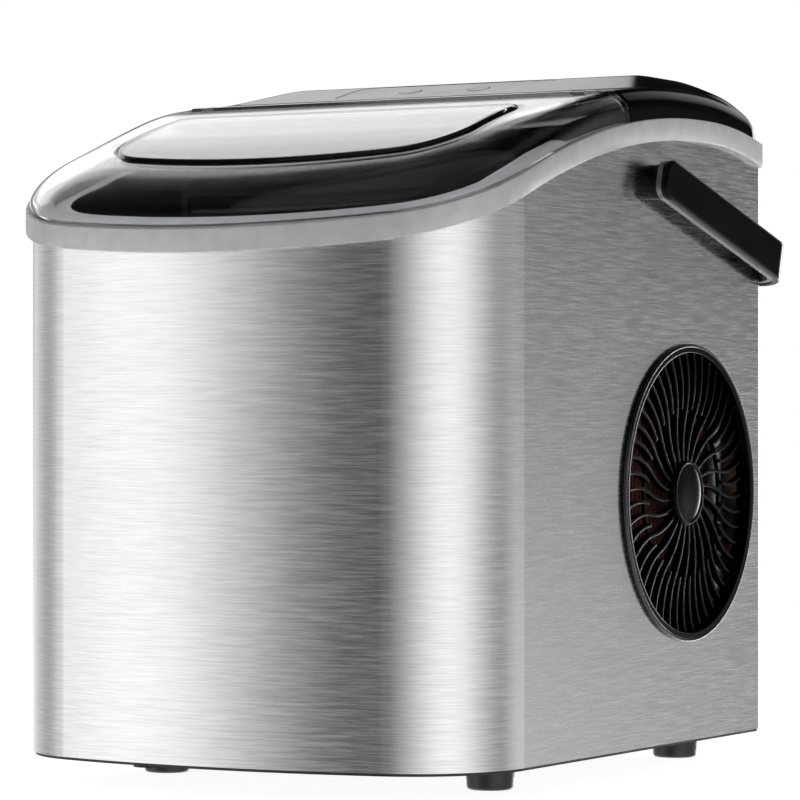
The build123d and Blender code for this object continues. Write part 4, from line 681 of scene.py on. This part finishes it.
# ------------------------------------------------------------------ side grilles: rim bead and domed hub cap
GRILLE_PLACE = (0.06205, 0.1182)  # y and z of its axis
GRILLE_FACE = HALF_WIDTH + 0.0018
GRILLE_SHARP = 80
GRILLE_BEAD_RADIUS = 0.0626
GRILLE_BEAD_SIZE = 0.0008
GRILLE_BEAD_X = GRILLE_FACE - 0.0005
GRILLE_BEAD_STEPS = 12  # round its section
GRILLE_BEAD_COUNT = 160  # round the grille
HUB_COUNT = 96
HUB_FLAT = GRILLE_FACE - 0.0016
HUB_SECTION = (  # (radius, height over the hub's flat)
    (0.0136, 0.0001), (0.0135, 0.0005), (0.0132, 0.0008), (0.0128, 0.0008),
    (0.0125, 0.0004), (0.0122, 0.0003), (0.0112, 0.0006), (0.0098, 0.0009),
    (0.0080, 0.00115), (0.0060, 0.00132), (0.0040, 0.00143), (0.0020, 0.0015),
)


def turned(side, section, count, closed):
    """Section of (radius, x) turned about a grille's axis, its ends joined if closed and capped if not."""
    corners = []
    for radius, x in section:
        for angle in circle(count):
            y = GRILLE_PLACE[0] + radius * math.cos(angle)
            corners.append((side * x, y, GRILLE_PLACE[1] + radius * math.sin(angle)))
    faces = [quad[::side] for quad in loop_quads(len(section), count, closed)]
    if not closed:
        for k, turn in ((0, -side), (len(section) - 1, side)):
            faces.append(tuple(range(k * count, (k + 1) * count))[::turn])
    return corners, faces


bead_section = [
    (GRILLE_BEAD_RADIUS + GRILLE_BEAD_SIZE * math.cos(t), GRILLE_BEAD_X + GRILLE_BEAD_SIZE * math.sin(t))
    for t in circle(GRILLE_BEAD_STEPS)
]
hub_section = [(radius, HUB_FLAT + height) for radius, height in HUB_SECTION]
for side, side_name in SIDES:
    rim = turned(side, bead_section[::-1], GRILLE_BEAD_COUNT, True)
    finish_mesh("grille_bead_" + side_name, rim, bead, "housing", "gloss_black", sharp=GRILLE_SHARP)
    cap = turned(side, hub_section, HUB_COUNT, False)
    finish_mesh("grille_cap_" + side_name, cap, grille, "housing", "gloss_black", sharp=GRILLE_SHARP)

# ------------------------------------------------------------------ studio: the world
# brightness round the horizon, as (degrees from straight ahead of the front, towards +X; display tone)
STUDIO = (
    (-180, 250), (-171, 235), (-165, 20), (-154, 30), (-146, 100), (-119, 201), (-87, 148), (-76, 170),
    (-60, 232), (-50, 244), (-40, 241), (-35, 222), (-29, 198), (-23, 168), (-18, 137), (-13, 108),
    (-8, 82), (-3, 66), (2, 84), (8, 110), (21, 155), (35, 198), (48, 226), (62, 236),
    (77, 225), (92, 190), (109, 148), (149, 119), (158, 55), (166, 45), (173, 235), (180, 250),
)
STUDIO_LEVEL = 1.55
# the studio fades towards the top
FADE = (0.15, 0.75)  # upward share of the direction
TOP_LEVEL = 0.04
# it is brighter low down behind the object
BEHIND = (0.5, 0.9)  # backward share of the direction
BEHIND_LOW = (0.06, -0.1)  # upward share, as all below without another unit
BEHIND_GAIN = 2.6
# softbox high up behind the object, which the top surfaces mirror
BOX_TURN = (-151, -112)  # degrees, as the studio's
BOX_TURN_SOFT = (0.008, 0.03)  # soft ends, as shares of a turn
BOX_LIFT = (17, 33)  # degrees up
BOX_LIFT_SOFT = (0.05, 0.05)  # soft ends, as upward shares
BOX_LEVEL = 1.25
# backdrop right behind the object, which its far rims catch
DROP_TURN = (-172, 172)  # degrees, dark between them
DROP_TURN_SOFT = (0.008, 0.008)
DROP_LIFT = (-0.5, 0.12)
DROP_LIFT_SOFT = (0.1, 0.08)
DROP_LEVEL = 4
# pale floor, seen in what faces down
LOW = (-0.2, -0.42)
LOW_LEVEL = 0.85
WHITE = (1, 1, 1)


def linear(tone):
    """Display tone 0-255 as a linear value, by the sRGB curve."""
    v = tone / 255
    return v / 12.92 if v <= 0.04045 else ((v + 0.055) / 1.055) ** 2.4


def turn_share(degrees):
    """Direction round the horizon as a share of a turn, from straight behind."""
    return (degrees + 180) / 360


def band(source, low, high, soft):
    """Mask that is 1 between low and high, with soft ends outside them."""
    rise, fall = soft
    start = sky.ranged(source, low - rise, low, smooth=True)
    end = sky.ranged(source, high + fall, high, smooth=True)
    return sky.calculate("MULTIPLY", start, end)


def background(strength, color=WHITE):
    """Light of the world, strength and colour each a value or a socket."""
    made = sky.node("ShaderNodeBackground")
    for key, value in (("Strength", strength), ("Color", color)):
        if isinstance(value, bpy.types.NodeSocket):
            sky.link(value, made.inputs[key])
        else:
            made.inputs[key].default_value = (*value, 1) if key == "Color" else value
    return made.outputs[0]


scene.world = bpy.data.worlds.new("studio")
scene.world.use_nodes = True
sky = Nodes(scene.world.node_tree)
sky.tree.nodes.clear()
direction = sky.node("ShaderNodeSeparateXYZ")
sky.link(sky.node("ShaderNodeTexCoord").outputs["Generated"], direction.inputs[0])
right, back, up = direction.outputs
angle = sky.calculate("ARCTAN2", right, sky.calculate("MULTIPLY", back, -1))
turn = sky.ranged(angle, -math.pi, math.pi)

ramp = sky.node("ShaderNodeValToRGB")
sky.link(turn, ramp.inputs["Fac"])
stops = ramp.color_ramp.elements
while len(stops) < len(STUDIO):
    stops.new(0.5)
for stop, (degrees, tone) in zip(stops, STUDIO):
    stop.position = turn_share(degrees)
    stop.color = (*[linear(tone)] * 3, 1)

level = sky.calculate("MULTIPLY", sky.ranged(up, *FADE, 1.0, TOP_LEVEL, smooth=True), STUDIO_LEVEL)
behind = sky.ranged(back, *BEHIND)
low_behind = sky.calculate("MULTIPLY", behind, sky.ranged(up, *BEHIND_LOW, 0.0, BEHIND_GAIN, smooth=True))
level = sky.calculate("MULTIPLY_ADD", low_behind, level, level)
studio = background(level, ramp.outputs["Color"])

box_turn = band(turn, *map(turn_share, BOX_TURN), BOX_TURN_SOFT)
box_lift = band(up, *[math.sin(math.radians(lift)) for lift in BOX_LIFT], BOX_LIFT_SOFT)
box = sky.calculate("MULTIPLY", sky.calculate("MULTIPLY", box_turn, box_lift), BOX_LEVEL)

drop_turn = band(turn, *map(turn_share, DROP_TURN), DROP_TURN_SOFT)
drop_turn = sky.calculate("MULTIPLY_ADD", drop_turn, -DROP_LEVEL, DROP_LEVEL)
drop = sky.calculate("MULTIPLY", drop_turn, band(up, *DROP_LIFT, DROP_LIFT_SOFT))

low = sky.ranged(up, *LOW, 0.0, LOW_LEVEL, smooth=True)
lights = sky.added(sky.added(sky.added(studio, background(box)), background(drop)), background(low))

# the camera sees plain white, also through the clear lid, but not in what mirrors it first
path = sky.node("ShaderNodeLightPath")
straight = sky.calculate("LESS_THAN", path.outputs["Glossy Depth"], 0.5)
through = sky.calculate("MULTIPLY", path.outputs["Is Transmission Ray"], straight)
seen = sky.calculate("MAXIMUM", path.outputs["Is Camera Ray"], through)
surface = sky.chosen(seen, lights, background(1.0))
sky.link(surface, sky.node("ShaderNodeOutputWorld").inputs["Surface"])

# ------------------------------------------------------------------ studio: the floor and a lamp
FLOOR_RADIUS = 1.1
FLOOR_CORNERS = 64
FLOOR_COLOR = (0.82, 0.82, 0.82)
FLOOR_ROUGH = 0.7
FLOOR_GLOW = 0.9
LAMP_HEIGHT = 1.6
LAMP_SIZE = 1.6
LAMP_POWER = 0.8

floor_mesh = bpy.data.meshes.new("floor")
floor_edge = [(FLOOR_RADIUS * math.cos(t), FLOOR_RADIUS * math.sin(t), 0) for t in circle(FLOOR_CORNERS)]
floor_mesh.from_pydata(floor_edge, [], [tuple(range(FLOOR_CORNERS))])
floor = bpy.data.objects.new("floor", floor_mesh)
scene.collection.objects.link(floor)

# it glows for the camera alone, and mirrors see the world's light in its place
floor_mat = Shader("floor_pale", FLOOR_COLOR, FLOOR_ROUGH)
glow = floor_mat.node("ShaderNodeEmission")
glow.inputs["Strength"].default_value = FLOOR_GLOW
path = floor_mat.node("ShaderNodeLightPath")
lit = floor_mat.added(floor_mat.bsdf.outputs[0], glow.outputs[0])
shown = floor_mat.chosen(path.outputs["Is Camera Ray"], floor_mat.bsdf.outputs[0], lit)
clear = floor_mat.node("ShaderNodeBsdfTransparent").outputs[0]
shown = floor_mat.chosen(path.outputs["Is Glossy Ray"], shown, clear)
floor_mat.link(shown, floor_mat.tree.nodes["Material Output"].inputs["Surface"])
floor_mesh.materials.append(floor_mat.mat)

lamp = bpy.data.lights.new("overhead", "AREA")
lamp.shape = "RECTANGLE"
lamp.size = lamp.size_y = LAMP_SIZE
lamp.energy = LAMP_POWER
overhead = bpy.data.objects.new("overhead", lamp)
overhead.location = (0, 0, LAMP_HEIGHT)
scene.collection.objects.link(overhead)
